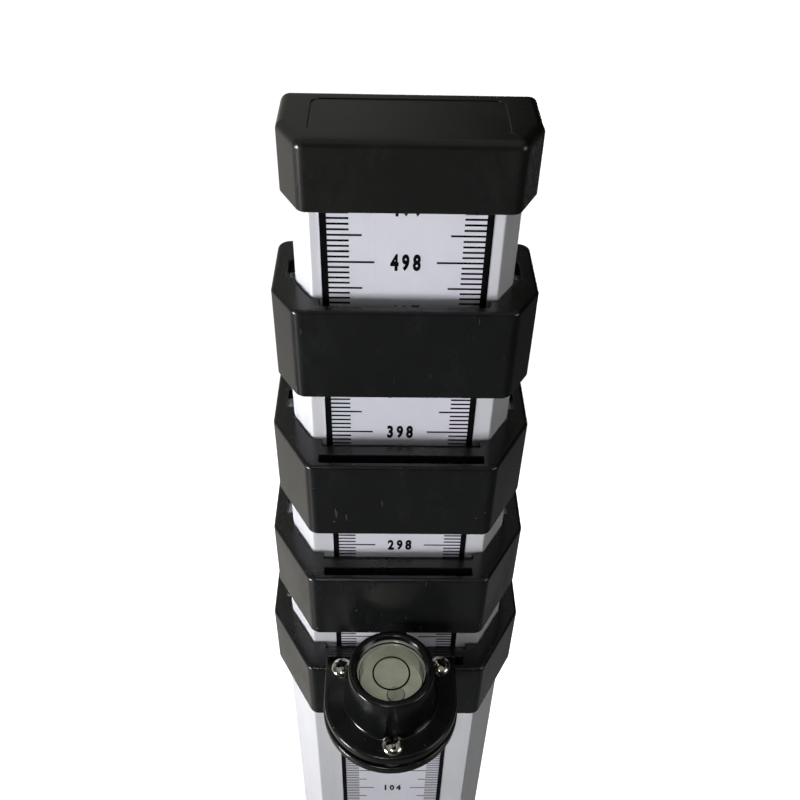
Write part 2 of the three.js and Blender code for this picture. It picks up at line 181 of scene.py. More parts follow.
# ------------------------------------------------------------------ mesh tools
def make(verts, faces, name="part"):
    mesh = bpy.data.meshes.new(name)
    mesh.from_pydata([tuple(map(float, v)) for v in verts], [], faces)
    mesh.update()
    return mesh


def fix_normals(mesh):
    bm = bmesh.new()
    bm.from_mesh(mesh)
    bmesh.ops.recalc_face_normals(bm, faces=bm.faces)
    bm.to_mesh(mesh)
    bm.free()


def loft(rings, closed=False):
    """Skin over rings [(outline, z)] of equal count.  closed joins the last ring to the first."""
    size = len(rings[0][0])
    verts = [(x, y, z) for outline, z in rings for x, y in outline]
    faces = []
    count = len(rings)
    for i in range(count if closed else count - 1):
        a = i * size
        b = ((i + 1) % count) * size
        for s in range(size):
            t = (s + 1) % size
            faces.append((a + s, a + t, b + t, b + s))
    if not closed:
        faces.append(tuple(reversed(range(size))))
        faces.append(tuple(range((count - 1) * size, count * size)))
    mesh = make(verts, faces)
    if closed:
        fix_normals(mesh)
    return mesh


def lathe(profile, segments, closed=False):
    """Solid of revolution about Z.  The profile of (radius, z) runs from the axis back to the
    axis, or is a closed loop."""
    verts, faces, rows = [], [], []
    for radius, z in profile:
        if radius <= 1e-7:
            rows.append([len(verts)] * segments)
            verts.append((0, 0, z))
            continue
        rows.append(list(range(len(verts), len(verts) + segments)))
        for s in range(segments):
            angle = 2 * math.pi * s / segments
            verts.append((radius * math.cos(angle), radius * math.sin(angle), z))
    count = len(profile)
    for i in range(count if closed else count - 1):
        low, high = rows[i], rows[(i + 1) % count]
        for s in range(segments):
            t = (s + 1) % segments
            face = []
            for v in (low[s], low[t], high[t], high[s]):
                if v not in face:
                    face.append(v)
            if len(face) > 2:
                faces.append(tuple(face))
    mesh = make(verts, faces)
    fix_normals(mesh)
    return mesh


def cylinder(radius, z0, z1, segments):
    return lathe([(0, z0), (radius, z0), (radius, z1), (0, z1)], segments)


ALONG_X = Matrix.Rotation(math.pi / 2, 4, "Y")       # +Z becomes +X
ALONG_NX = Matrix.Rotation(-math.pi / 2, 4, "Y")     # +Z becomes -X
UPSIDE_DOWN = Matrix.Rotation(math.pi, 4, "X")


def moved(mesh, x=0, y=0, z=0, turn=Matrix.Identity(4)):
    mesh = mesh.copy()
    mesh.transform(Matrix.Translation((x, y, z)) @ turn)
    return mesh


def boolean(base, others, operation):
    """Apply each mesh in others to base in turn, with the exact solver."""
    scene = bpy.context.scene.collection
    for other in others:
        target = bpy.data.objects.new("target", base)
        tool = bpy.data.objects.new("tool", other)
        scene.objects.link(target)
        scene.objects.link(tool)
        modifier = target.modifiers.new("boolean", "BOOLEAN")
        modifier.operation = operation
        modifier.solver = "EXACT"
        modifier.object = tool
        depsgraph = bpy.context.evaluated_depsgraph_get()
        base = bpy.data.meshes.new_from_object(target.evaluated_get(depsgraph))
        bpy.data.objects.remove(target)
        bpy.data.objects.remove(tool)
    return base


def cut(base, *others):
    return boolean(base, others, "DIFFERENCE")


def join(base, *others):
    return boolean(base, others, "UNION")


def fillet_loft(outline_at, z0, z1, fillet0, fillet1, steps):
    """Solid with edges rounded by fillet0 below and fillet1 above.
    outline_at(distance) gives its outline moved out by distance."""
    rings = []
    for i in range(steps + 1) if fillet0 > 0 else [steps]:
        angle = math.pi / 2 * (1 - i / steps)
        rings.append((outline_at(-fillet0 * (1 - math.cos(angle))),
                      z0 + fillet0 - fillet0 * math.sin(angle)))
    for i in range(steps + 1):
        angle = math.pi / 2 * i / steps
        rings.append((outline_at(-fillet1 * (1 - math.cos(angle))),
                      z1 - fillet1 + fillet1 * math.sin(angle)))
    return loft(rings)


def block(corners, radii, z0, z1, fillet0, fillet1, seg, steps):
    """Polygonal block with rounded corners and edges."""
    return fillet_loft(lambda distance: ring(corners, radii, distance, seg),
                       z0, z1, fillet0, fillet1, steps)


def flared(corners, radii, z0, z1, flare, seg):
    """Cutter that flares out by a quarter round at z1, so that the rim it leaves is rounded."""
    steps = 4
    lift = 0.0007           # keeps the flare off the face it meets
    rings = [(ring(corners, radii, 0, seg), z0)]
    for i in range(steps + 1):
        angle = math.pi / 2 * i / steps
        rings.append((ring(corners, radii, flare * (1 - math.cos(angle)), seg),
                      z1 - flare + flare * math.sin(angle) + lift))
    rings.append((ring(corners, radii, flare, seg), z1 + 1.0))
    return loft(rings)


def socket(offset, stations):
    """Cutter for the pocket that takes a tube.  Stations are (growth, z)."""
    corners = tube_corners(offset + FIT)
    return loft([(ring(corners, corner_radii(0.7, 1.4), growth, 5), z) for growth, z in stations])


def cross_recess(length, width, depth, z):
    """Cutter for a tapered cross of half length and half width, open at z."""
    def cross(s, u):
        return [(-u, -s), (u, -s), (u, -u), (s, -u), (s, u), (u, u),
                (u, s), (-u, s), (-u, u), (-s, u), (-s, -u), (-u, -u)]
    return loft([(cross(width * 0.9, width * 0.55), z - depth),
                 (cross(length * 0.72, width * 0.8), z - depth * 0.45),
                 (cross(length, width), z + 0.02),
                 (cross(length * 1.04, width * 1.04), z + 1.5)])


def clean(mesh, sharp):
    """Weld, drop slivers, and mark edges sharper than the given angle in degrees."""
    bm = bmesh.new()
    bm.from_mesh(mesh)
    bmesh.ops.remove_doubles(bm, verts=bm.verts, dist=0.0015)
    bmesh.ops.dissolve_degenerate(bm, edges=bm.edges, dist=0.0008)
    loose = [v for v in bm.verts if not v.link_faces]
    bmesh.ops.delete(bm, geom=loose, context="VERTS")
    big = [f for f in bm.faces if len(f.verts) > 12]
    if big:
        bmesh.ops.triangulate(bm, faces=big)
    bmesh.ops.recalc_face_normals(bm, faces=bm.faces)
    limit = math.radians(sharp)
    for f in bm.faces:
        f.smooth = True
    for e in bm.edges:
        e.smooth = not (len(e.link_faces) == 2 and e.calc_face_angle(0) > limit)
    bm.to_mesh(mesh)
    bm.free()
    return mesh


MATERIALS = {}


def place(name, mesh, body, material, x=0.0, y=0.0, z=0.0, stands_for=None, sharp=33.0,
          flat=False):
    """Put a mesh into the scene, riding on a body and replacing the frame piece it stands for.
    flat leaves out the cleaning and smoothing, for prints."""
    if not flat:
        mesh = clean(mesh, sharp)
    mesh = mesh.copy()
    mesh.transform(Matrix.Translation((x * MM, y * MM, z * MM)) @ Matrix.Scale(MM, 4))
    mesh.name = name
    mesh.materials.clear()
    mesh.materials.append(MATERIALS[material])
    piece = bpy.data.objects.new(name, mesh)
    bpy.context.scene.collection.objects.link(piece)
    if not flat:
        weighted = piece.modifiers.new("weighted_normal", "WEIGHTED_NORMAL")
        weighted.keep_sharp = True
        weighted.weight = 100
    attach(piece, body)
    if stands_for:
        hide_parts(stands_for)
    return piece


# ------------------------------------------------------------------ shader graphs
class Graph:
    """Node tree being built.  Methods add nodes and, node() apart, return an output socket."""

    def __init__(self, tree, output, coordinates):
        self.tree = tree
        tree.nodes.clear()
        self.output = tree.nodes.new(output)
        self.coordinates = tree.nodes.new("ShaderNodeTexCoord").outputs[coordinates]

    def put(self, target, value):
        if isinstance(value, bpy.types.NodeSocket):
            self.tree.links.new(value, target)
        elif isinstance(value, tuple) and len(value) == 3 and target.type == "RGBA":
            target.default_value = (*value, 1)
        else:
            target.default_value = value

    def node(self, kind, inputs=None, **properties):
        node = self.tree.nodes.new(kind)
        for key, value in properties.items():
            setattr(node, key, value)
        for key, value in (inputs or {}).items():
            self.put(node.inputs[key], value)
        return node

    def add(self, kind, inputs=None, **properties):
        return self.node(kind, inputs, **properties).outputs[0]

    def finish(self, shader):
        self.tree.links.new(shader, self.output.inputs["Surface"])

    def math(self, operation, a, b=0.0):
        return self.add("ShaderNodeMath", {0: a, 1: b}, operation=operation)

    def plus(self, a, b):
        return self.math("ADD", a, b)

    def minus(self, a, b):
        return self.math("SUBTRACT", a, b)

    def times(self, a, b):
        return self.math("MULTIPLY", a, b)

    def larger(self, a, b):
        return self.math("MAXIMUM", a, b)

    def ramp(self, value, span, to=(0.0, 1.0)):
        """Clamped linear remap of span onto to."""
        node = self.node("ShaderNodeMapRange", {
            "Value": value, "From Min": span[0], "From Max": span[1],
            "To Min": to[0], "To Max": to[1]})
        node.clamp = True
        return node.outputs[0]

    def noise(self, scale, stretch=None, turn=(0, 0, 0), detail=3.0, rough=0.55, distort=0.0):
        vector = self.coordinates
        if stretch:
            vector = self.add("ShaderNodeMapping", {
                "Vector": vector, "Scale": stretch, "Rotation": turn})
        return self.add("ShaderNodeTexNoise", {
            "Vector": vector, "Scale": scale, "Detail": detail, "Roughness": rough,
            "Distortion": distort})

    def mix(self, a, b, by, amount=None):
        """Colour a turned into b by a mask, the mask first scaled by amount."""
        if amount is not None:
            by = self.times(by, amount)
        return self.node("ShaderNodeMix", {0: by, 6: a, 7: b}, data_type="RGBA").outputs[2]

    def specks(self, scale, size, share):
        """Sparse spots.  size is a share of the cell, share the part of the cells with one."""
        cells = self.node("ShaderNodeTexVoronoi", {
            "Vector": self.coordinates, "Scale": scale, "Randomness": 1.0})
        spot = self.ramp(cells.outputs["Distance"], span=(size, size * 0.55))
        pick = self.add("ShaderNodeSeparateColor", {"Color": cells.outputs["Color"]})
        return self.times(spot, self.math("GREATER_THAN", pick, 1.0 - share))

    def bump(self, height, strength, distance, under=None):
        """Bump in metres, on top of the normal given as under."""
        inputs = {"Height": height, "Strength": strength, "Distance": distance}
        if under is not None:
            inputs["Normal"] = under
        return self.add("ShaderNodeBump", inputs)

    def edge(self, radius):
        """1 on convex or concave edges, 0 on flats."""
        bevel = self.add("ShaderNodeBevel", {"Radius": radius}, samples=6)
        normal = self.node("ShaderNodeNewGeometry").outputs["Normal"]
        dot = self.node("ShaderNodeVectorMath", {0: bevel, 1: normal}, operation="DOT_PRODUCT")
        return self.ramp(dot.outputs["Value"], span=(0.995, 0.90))

    def emission(self, colour, strength):
        return self.add("ShaderNodeEmission", {"Color": colour, "Strength": strength})

    def add_shaders(self, a, b):
        return self.add("ShaderNodeAddShader", {0: a, 1: b})

    def mix_shaders(self, by, a, b):
        return self.add("ShaderNodeMixShader", {0: by, 1: a, 2: b})

    def principled(self, colour, rough, normal, metal=0.0, specular=0.5):
        return self.add("ShaderNodeBsdfPrincipled", {
            "Base Color": colour, "Roughness": rough, "Metallic": metal, "Normal": normal,
            "Specular IOR Level": specular})


class Material(Graph):
    """Graph of a new material, kept in MATERIALS under its name."""

    def __init__(self, name):
        material = bpy.data.materials.new(name)
        material.use_nodes = True
        MATERIALS[name] = material
        super().__init__(material.node_tree, "ShaderNodeOutputMaterial", "Object")


def tone(colour, factor, lift=0.0):
    return tuple(c * factor + lift for c in colour)


# ------------------------------------------------------------------ materials
def anodised(name):
    """Anodised extrusion with die lines along the rod."""
    m = Material(name)
    grain = m.noise(scale=5200, stretch=(1, 1, 0.012), detail=2.0, rough=0.6)
    streak = m.noise(scale=420, stretch=(1, 1, 0.03), rough=0.6)
    cloud = m.noise(scale=38)
    scratch = m.ramp(m.noise(scale=1500, stretch=(1, 1, 0.02), turn=(0.02, 0.013, 0),
                             detail=1.0, rough=0.5), span=(0.70, 0.78))
    pits = m.specks(scale=260, size=0.09, share=0.10)
    colour = m.mix((0.88, 0.895, 0.94), (0.95, 0.955, 0.975), by=m.ramp(streak, span=(0.3, 0.7)))
    colour = m.mix(colour, (0.72, 0.73, 0.77), by=m.ramp(cloud, span=(0.45, 0.75)), amount=0.22)
    colour = m.mix(colour, (0.9, 0.9, 0.92), by=scratch, amount=0.25)
    colour = m.mix(colour, (0.35, 0.34, 0.33), by=pits, amount=0.45)
    rough = m.plus(m.ramp(cloud, span=(0.3, 0.7), to=(0.40, 0.50)),
                   m.times(m.minus(grain, 0.5), 0.16))
    rough = m.minus(rough, m.times(scratch, 0.12))
    height = m.plus(grain, m.times(scratch, -0.6))
    normal = m.bump(m.noise(scale=2600, detail=2.0), strength=0.10, distance=0.00003)
    normal = m.bump(height, strength=0.22, distance=0.00002, under=normal)
    m.finish(m.principled(colour, rough, normal, metal=0.36))


def moulded(name, colour, rough, wear, specks, gloss_range=0.10):
    """Moulded black plastic: varying gloss, light grain, dust, scuffs and rubbed edges.
    wear is the strength of the rubbed edges, specks that of dust and scratches."""
    m = Material(name)
    low = m.noise(scale=55)
    middle = m.noise(scale=420, detail=4.0, rough=0.6)
    fine = m.noise(scale=4200, detail=2.0, rough=0.6)
    smear = m.noise(scale=130, stretch=(1.0, 1.0, 0.35), turn=(0.3, 0.9, 0.2), detail=4.0,
                    rough=0.65, distort=0.6)
    hair_across = m.noise(scale=900, stretch=(0.05, 1.0, 1.0), turn=(0.4, 0.7, 0.5), detail=2.0,
                          rough=0.5, distort=0.3)
    hair_across = m.times(m.ramp(hair_across, span=(0.705, 0.74)), m.ramp(low, span=(0.50, 0.60)))
    hair_up = m.noise(scale=1100, stretch=(1.0, 1.0, 0.13), turn=(0.9, 0.2, 1.1), detail=2.0,
                      rough=0.5, distort=0.4)
    hair_up = m.times(m.ramp(hair_up, span=(0.72, 0.75)), m.ramp(low, span=(0.52, 0.42)))
    scratch = m.larger(hair_across, hair_up)
    dust = m.larger(m.specks(scale=240, size=0.055, share=0.10),
                    m.times(m.specks(scale=620, size=0.07, share=0.055), 0.7))
    edge = m.times(m.edge(radius=0.0005), m.ramp(middle, span=(0.42, 0.62)))
    base = m.mix(colour, tone(colour, 1.35), by=m.ramp(middle, span=(0.35, 0.7)))
    base = m.mix(base, tone(colour, 2.6, lift=0.002), by=m.ramp(smear, span=(0.52, 0.75)),
                 amount=0.35)
    base = m.mix(base, (0.055, 0.055, 0.056), by=edge, amount=0.45 * wear)
    base = m.mix(base, (0.12, 0.12, 0.118), by=scratch, amount=0.30 * specks)
    base = m.mix(base, (0.30, 0.295, 0.28), by=dust, amount=0.55 * specks)
    gloss = m.ramp(low, span=(0.3, 0.7),
                   to=(rough - gloss_range * 0.35, rough + gloss_range * 0.65))
    gloss = m.plus(gloss, m.times(m.ramp(smear, span=(0.5, 0.8)), 0.10))
    gloss = m.plus(gloss, m.times(m.larger(scratch, dust), 0.25))
    normal = m.bump(m.noise(scale=30, detail=2.0), strength=0.10, distance=0.0006)
    normal = m.bump(fine, strength=0.10, distance=0.00003, under=normal)
    normal = m.bump(middle, strength=0.05, distance=0.00012, under=normal)
    normal = m.bump(m.minus(dust, scratch), strength=0.25, distance=0.00003, under=normal)
    m.finish(m.principled(base, gloss, normal))


def metal(name, dark, light, rough, rough_range, bump=0.08, dirt=0.4):
    """Bare metal, clouded between two tones, with dull spots."""
    m = Material(name)
    low = m.noise(scale=260, rough=0.6)
    fine = m.noise(scale=3800, rough=0.6)
    spots = m.ramp(m.noise(scale=900, detail=4.0, rough=0.7), span=(0.58, 0.72))
    colour = m.mix(dark, light, by=m.ramp(low, span=(0.35, 0.65)))
    colour = m.mix(colour, tone(dark, 0.35), by=spots, amount=dirt)
    colour = m.mix(colour, tone(light, 1.2), by=m.edge(radius=0.0002), amount=0.35)
    gloss = m.ramp(low, span=(0.3, 0.7),
                   to=(rough - rough_range * 0.4, rough + rough_range * 0.6))
    gloss = m.plus(gloss, m.times(spots, 0.18))
    m.finish(m.principled(colour, gloss, m.bump(fine, strength=bump, distance=0.00002),
                          metal=1.0))


def film(name, colour, dirt, painted_glow=0.0, painted_glow_span=None):
    """Satin plastic, slightly mottled, with rubbed patches and fine scratches.
    The last two arguments add painted light: an emission of the base colour, fading out upwards
    over the given span, so that the part looks lit from within."""
    m = Material(name)
    cloud = m.noise(scale=70, detail=4.0, rough=0.6)
    blot = m.noise(scale=420, detail=4.0, rough=0.65)
    scratch = m.ramp(m.noise(scale=1400, stretch=(1, 1, 0.03), turn=(0.0, 0.03, 0.0), detail=1.5,
                             rough=0.5), span=(0.70, 0.76))
    dots = m.specks(scale=330, size=0.07, share=0.06)
    base = m.mix(colour, tone(colour, 0.94), by=m.ramp(cloud, span=(0.35, 0.7)))
    base = m.mix(base, tone(colour, 0.72), by=m.ramp(blot, span=(0.55, 0.75)), amount=0.22 * dirt)
    base = m.mix(base, tone(colour, 0.80), by=scratch, amount=0.14)
    base = m.mix(base, (0.25, 0.24, 0.23), by=dots, amount=0.5 * dirt)
    rough = m.ramp(cloud, span=(0.3, 0.7), to=(0.34, 0.46))
    normal = m.bump(m.noise(scale=60, detail=2.0), strength=0.08, distance=0.0004)
    normal = m.bump(m.noise(scale=900), strength=0.08, distance=0.00003, under=normal)
    shader = m.principled(base, rough, normal, specular=0.45)
    # painted light: the part emits its own colour, strongest at the bottom, though it is no lamp
    if painted_glow:
        height = m.node("ShaderNodeSeparateXYZ", {0: m.coordinates}).outputs[2]
        light = m.emission(base, m.ramp(height, span=painted_glow_span, to=(painted_glow, 0.0)))
        shader = m.add_shaders(shader, light)
    m.finish(shader)


def ink(name, colour, fade, specular=0.4):
    m = Material(name)
    worn = m.ramp(m.noise(scale=520, detail=5.0, rough=0.7), span=(0.56, 0.74))
    base = m.mix(colour, tone(colour, 1.5, lift=0.001),
                 by=m.ramp(m.noise(scale=90), span=(0.35, 0.7)))
    base = m.mix(base, tone(colour, 0.5, lift=0.22), by=worn, amount=fade)
    rough = m.ramp(m.noise(scale=200), span=(0.3, 0.7), to=(0.38, 0.55))
    normal = m.bump(m.noise(scale=3000, detail=2.0), strength=0.08, distance=0.00002)
    m.finish(m.principled(base, rough, normal, specular=specular))


def clear(name, tint, rough, ior, gloss, cloud=0.0, cloud_colour=(0.8, 0.85, 0.75)):
    """Clear plastic, liquid or gas: Fresnel reflection over a tinted body with faint haze.
    cloud is the share of diffuse body."""
    m = Material(name)
    normal = m.bump(m.noise(scale=500), strength=0.05, distance=0.00005)
    fresnel = m.add("ShaderNodeFresnel", {"IOR": ior, "Normal": normal})
    haze = m.ramp(m.noise(scale=350, detail=4.0, rough=0.65), span=(0.45, 0.75))
    glossy = m.add("ShaderNodeBsdfGlossy", {
        "Color": (gloss, gloss, gloss), "Roughness": m.plus(rough, m.times(haze, 0.12)),
        "Normal": normal})
    through = m.add("ShaderNodeBsdfTransparent", {
        "Color": m.mix(tint, tone(tint, 0.9), by=haze, amount=0.15)})
    diffuse = m.add("ShaderNodeBsdfDiffuse", {"Color": cloud_colour})
    body = m.mix_shaders(m.times(m.plus(0.6, haze), cloud), through, diffuse)
    m.finish(m.mix_shaders(fresnel, body, glossy))


def rubber(name):
    m = Material(name)
    mottle = m.noise(scale=900, detail=4.0, rough=0.65)
    colour = m.mix((0.012, 0.012, 0.012), (0.035, 0.034, 0.033),
                   by=m.ramp(mottle, span=(0.4, 0.7)))
    rough = m.ramp(mottle, span=(0.3, 0.7), to=(0.62, 0.85))
    normal = m.bump(m.noise(scale=5200, detail=2.0), strength=0.25, distance=0.00003)
    m.finish(m.principled(colour, rough, normal, specular=0.35))


CUP_Z = box("level_vial_cup")[0].z

anodised("anodised_aluminium")
moulded("black_abs", colour=(0.0062, 0.0066, 0.0068), rough=0.225, wear=0.35, specks=1.2)
moulded("black_abs_cap", colour=(0.0078, 0.0076, 0.0070), rough=0.25, wear=0.18, specks=0.6)
# The level housing takes a darker copy of the black plastic: painted shade that offsets the extra
# lamp lighting the level.
moulded("black_abs_level_painted_shade", colour=(0.0036, 0.0041, 0.0042), rough=0.17, wear=0.4, specks=0.9,
        gloss_range=0.08)
moulded("black_nylon", colour=(0.020, 0.0205, 0.022), rough=0.45, wear=0.3, specks=0.2)
moulded("black_steel", colour=(0.0050, 0.0053, 0.0055), rough=0.16, wear=0.8, specks=0.5)
metal("zinc_steel", dark=(0.46, 0.455, 0.43), light=(0.60, 0.60, 0.58), rough=0.30,
      rough_range=0.14)
metal("nickel_steel", dark=(0.62, 0.585, 0.51), light=(0.80, 0.775, 0.71), rough=0.17,
      rough_range=0.12, bump=0.05, dirt=0.35)
metal("spring_steel", dark=(0.40, 0.41, 0.42), light=(0.54, 0.55, 0.57), rough=0.30,
      rough_range=0.10)
rubber("rubber")
film("scale_film", colour=(0.735, 0.735, 0.80), dirt=0.5)
film("scale_film_back", colour=(0.76, 0.745, 0.62), dirt=0.7)
ink("scale_ink", colour=(0.0016, 0.0016, 0.0022), fade=0.03, specular=0.08)
ink("scale_ink_back", colour=(0.016, 0.016, 0.018), fade=0.35)
ink("scale_ink_red", colour=(0.42, 0.018, 0.014), fade=0.25)
clear("acrylic", tint=(0.97, 0.985, 0.965), rough=0.04, ior=1.42, gloss=0.7)
clear("vial_fluid", tint=(0.965, 0.967, 0.945), rough=0.05, ior=1.04, gloss=0.5,
      cloud=0.08, cloud_colour=(0.62, 0.65, 0.56))
clear("vial_bubble", tint=(0.90, 0.905, 0.895), rough=0.06, ior=1.30, gloss=0.5,
      cloud=0.03, cloud_colour=(0.45, 0.47, 0.42))
# The cup emits painted light near its floor, which stands in for light that does not reach inside
# the vial.
film("vial_white", colour=(0.84, 0.845, 0.76), dirt=0.25, painted_glow=0.060,
     painted_glow_span=(CUP_Z * MM + 0.0013, CUP_Z * MM + 0.0032))


# ------------------------------------------------------------------ tubes
def through_x(radius, half_width, y, z, seg=40, flare=0.25):
    """Cutter along X through both side walls, countersunk by flare on each outer face."""
    end = half_width + 2
    half_profile = [(radius, half_width - flare), (radius + flare, half_width),
                    (radius + flare + 0.1, end), (0, end)]
    profile = [(r, -x) for r, x in reversed(half_profile)] + half_profile
    return moved(lathe(profile, seg), 0, y, z, ALONG_X)


def build_tube(n):
    node = f"{BODY[n]}_tube"
    lo, hi = box(node)
    length = hi.z - lo.z
    rim = 0.22              # chamfer on both rims
    offset = offset_of(n)
    outside = [(-rim, 0), (0, rim), (0, length - rim), (-rim, length)]
    inside = [(rim, length), (0, length - rim), (0, rim), (rim, 0)]
    rings = [(ring(tube_corners(offset), corner_radii(0.7, 1.5), growth, 6), z)
             for growth, z in outside]
    rings += [(ring(tube_corners(offset - WALL), corner_radii(0.5, 0.9), growth, 6), z)
              for growth, z in inside]
    tube = loft(rings, closed=True)
    cutters = []
    if n >= 2:              # holes for its own buttons
        own = BUTTON[n]
        cutters.append(through_x(BUTTON_RADIUS + 0.2, hi.x, own.y, own.z - lo.z))
    if n <= 4:              # holes that take the next section's buttons when it is drawn out
        upper = BUTTON[n + 1]
        cutters.append(through_x(BUTTON_RADIUS + 0.3, hi.x, upper.y,
                                 upper.z + TRAVEL[n + 1] - lo.z))
    screw = mid(f"collar_{n}_screw_left" if n <= 4 else "top_cap_screw_left")
    cutters.append(through_x(1.25, hi.x, screw.y, screw.z - lo.z, seg=24, flare=0.1))
    place(f"{node}_extrusion", cut(tube, *cutters), BODY[n], "anodised_aluminium", z=lo.z,
          stands_for=node)


for n in SECTIONS:
    build_tube(n)


# ------------------------------------------------------------------ collars and top cap
# Outline of a collar or the cap: half width of the front face, half width over the sides,
# distances from the axis to the front, to the front end of the sides and to the back, x shift.
Outline = namedtuple("Outline", "front_half half front side_front back shift")
COLLAR = {
    1: Outline(19.25, 28.60, 19.97, 4.30, 16.80, 0.0),
    2: Outline(17.85, 26.50, 18.35, 4.00, 14.85, 0.0),
    3: Outline(17.05, 24.30, 16.64, 4.15, 12.90, 0.0),
    4: Outline(18.38, 22.62, 11.00, 4.30, 10.98, 0.12),
}
CAP = Outline(16.68, 20.15, 9.48, 2.92, 7.95, 0.25)
SKIRT, CAP_SKIRT = 0.35, 0.72       # how far the lower rims reach below the frame's blocks
RECESS_HALF = {1: 15.9, 2: 15.5, 3: 14.7, 4: 14.05}     # recess in front of the sliding tube
LIP = 2.6                           # collar thickness over the end of its own tube
CAP_ROOF = 2.0
SLOT_FRONT, SLOT_BACK = 1.45, 3.35  # slot behind the front face of collars 1 to 3


def outline_corners(o):
    corners = ((-o.front_half, -o.front), (o.front_half, -o.front), (o.half, -o.side_front),
               (o.half, o.back), (-o.half, o.back), (-o.half, -o.side_front))
    return [(x + o.shift, y) for x, y in corners]


def countersinks(node, outline, head_radius, sink):
    """Cutters for the two side screws, with room round head and sink."""
    screw = mid(f"{node}_screw_left")
    z = screw.z - box(node)[0].z
    radius = head_radius + 0.15
    tool = lathe([(0, -6), (1.35, -6), (1.35, -(sink + 0.1)), (radius + 0.1, -0.02),
                  (radius + 0.22, 0.12), (radius + 0.22, 1), (0, 1)], 40)
    return [moved(tool, outline.half + outline.shift, screw.y, z, ALONG_X),
            moved(tool, -outline.half + outline.shift, screw.y, z, ALONG_NX)]


def side_screws(node, body, outline, head_radius, sink, length):
    shank = 1.1
    screw = lathe([(0, -length), (shank * 0.55, -length), (shank, -length + 0.5),
                   (shank, -sink), (head_radius - 0.05, -0.14), (head_radius, -0.08),
                   (head_radius - 0.06, -0.02), (head_radius * 0.6, 0.02), (0, 0.03)], 40)
    screw = cut(screw, cross_recess(head_radius * 0.62, 0.27, depth=0.75, z=0.0))
    for side, turn, sign in (("right", ALONG_X, 1), ("left", ALONG_NX, -1)):
        name = f"{node}_screw_{side}"
        centre = mid(name)
        place(f"{name}_head", moved(screw, turn=turn), body, "zinc_steel",
              sign * (outline.half - 0.02) + outline.shift, centre.y, centre.z,
              stands_for=name, sharp=28)


def build_collar(n):
    outline = COLLAR[n]
    node = f"collar_{n}"
    lo, hi = box(node)
    height = hi.z - lo.z
    inner = offset_of(n + 1)
    body = block(outline_corners(outline), [2.3, 2.3, 2.0, 2.2, 2.2, 2.0], -SKIRT, height,
                 0.22, 0.75, seg=10, steps=6)
    lead_in = 0.35
    cutters = [
        socket(offset_of(n), [(lead_in, -1.5), (lead_in, -SKIRT), (0.0, lead_in - SKIRT),
                              (0.0, height - LIP)]),
        flared(tube_corners(inner + 0.28), corner_radii(0.8, 1.2), -1, height, 0.24, seg=6)]
    # shallow recess in the top, in front of the sliding tube
    tube_front = INNER_HALF_DEPTH + inner
    cutters.append(flared(
        rect(-RECESS_HALF[n], RECESS_HALF[n], -(tube_front + 2.25), -(tube_front - 0.5)),
        [0.5, 0.5, 0.1, 0.1], height - 1.6, height, 0.22, seg=5))
    # notches beside the tube at the buttons
    side = INNER_HALF_WIDTH + inner + 0.45
    y = BUTTON[n + 1].y
    for sign in (-1, 1):
        x0, x1 = sorted((sign * (side - 0.6), sign * (side + 1.15)))
        cutters.append(flared(rect(x0, x1, y - 2.65, y + 2.65), [0.35] * 4,
                              height - LIP - 1, height, 0.18, seg=4))
    if n <= 3:
        cutters.append(flared(
            rect(-15.1, 15.1, -(outline.front - SLOT_FRONT), -(outline.front - SLOT_BACK)),
            [0.3] * 4, height - 9.5, height, 0.16, seg=4))
    head_radius, sink = 2.2, 1.3
    cutters += countersinks(node, outline, head_radius, sink)
    place(f"{node}_moulding", cut(body, *cutters), BODY[n], "black_abs", z=lo.z,
          stands_for=node)
    length = outline.half - (INNER_HALF_WIDTH + offset_of(n)) + 1.0
    side_screws(node, BODY[n], outline, head_radius, sink, length)


def build_cap():
    lo, hi = box("top_cap")
    height = hi.z - lo.z
    body = block(outline_corners(CAP), [1.9, 1.9, 1.6, 1.6, 1.6, 1.6], -CAP_SKIRT, height,
                 0.25, 1.45, seg=10, steps=8)
    lead_in = 0.3
    pocket = socket(0.0, [(lead_in, -2), (lead_in, -CAP_SKIRT), (0.0, lead_in - CAP_SKIRT),
                          (0.0, height - CAP_ROOF)])
    panel = flared(rect(-14.9, 14.9, -6.4, 5.2), [1.6] * 4, height - 0.15, height, 0.14, seg=7)
    head_radius, sink = 2.0, 0.9
    cap = cut(body, pocket, panel, *countersinks("top_cap", CAP, head_radius, sink))
    place("top_cap_moulding", cap, BODY[5], "black_abs_cap", z=lo.z, stands_for="top_cap")
    side_screws("top_cap", BODY[5], CAP, head_radius, sink, length=2.3)


for n in COLLAR:
    build_collar(n)
build_cap()


# ------------------------------------------------------------------ end blocks, buttons, springs
def build_end_block(n):
    """Nylon block in the lower end of a tube, bored along X for the buttons."""
    tube_z = box(f"{BODY[n]}_tube")[0].z
    offset = offset_of(n)
    half_width = INNER_HALF_WIDTH + offset
    flange = block(tube_corners(offset + 0.5), corner_radii(0.8, 1.6), -3.05, -0.1, 0.4, 0.2,
                   seg=6, steps=3)
    plug = block(tube_corners(offset - WALL - FIT), corner_radii(0.5, 0.9), -0.5, 27.2, 0, 0.6,
                 seg=5, steps=3)
    bore = cylinder(3.1, -half_width - 3, half_width + 3, 40)
    cutters = [moved(bore, 0, BUTTON[n].y, BUTTON[n].z - tube_z, ALONG_X)]
    # two pockets in the top
    pocket_y = INNER_HALF_DEPTH + offset - WALL - FIT - 2.0
    for x0, x1 in ((-half_width + 6.5, -2.0), (2.0, half_width - 6.5)):
        cutters.append(flared(rect(x0, x1, -pocket_y, pocket_y), [0.7] * 4, 18.2, 27.2, 0.4,
                              seg=4))
    place(f"section_{n}_end_block_moulding", cut(join(flange, plug), *cutters), BODY[n],
          "black_nylon", z=tube_z, stands_for=f"section_{n}_end_block")


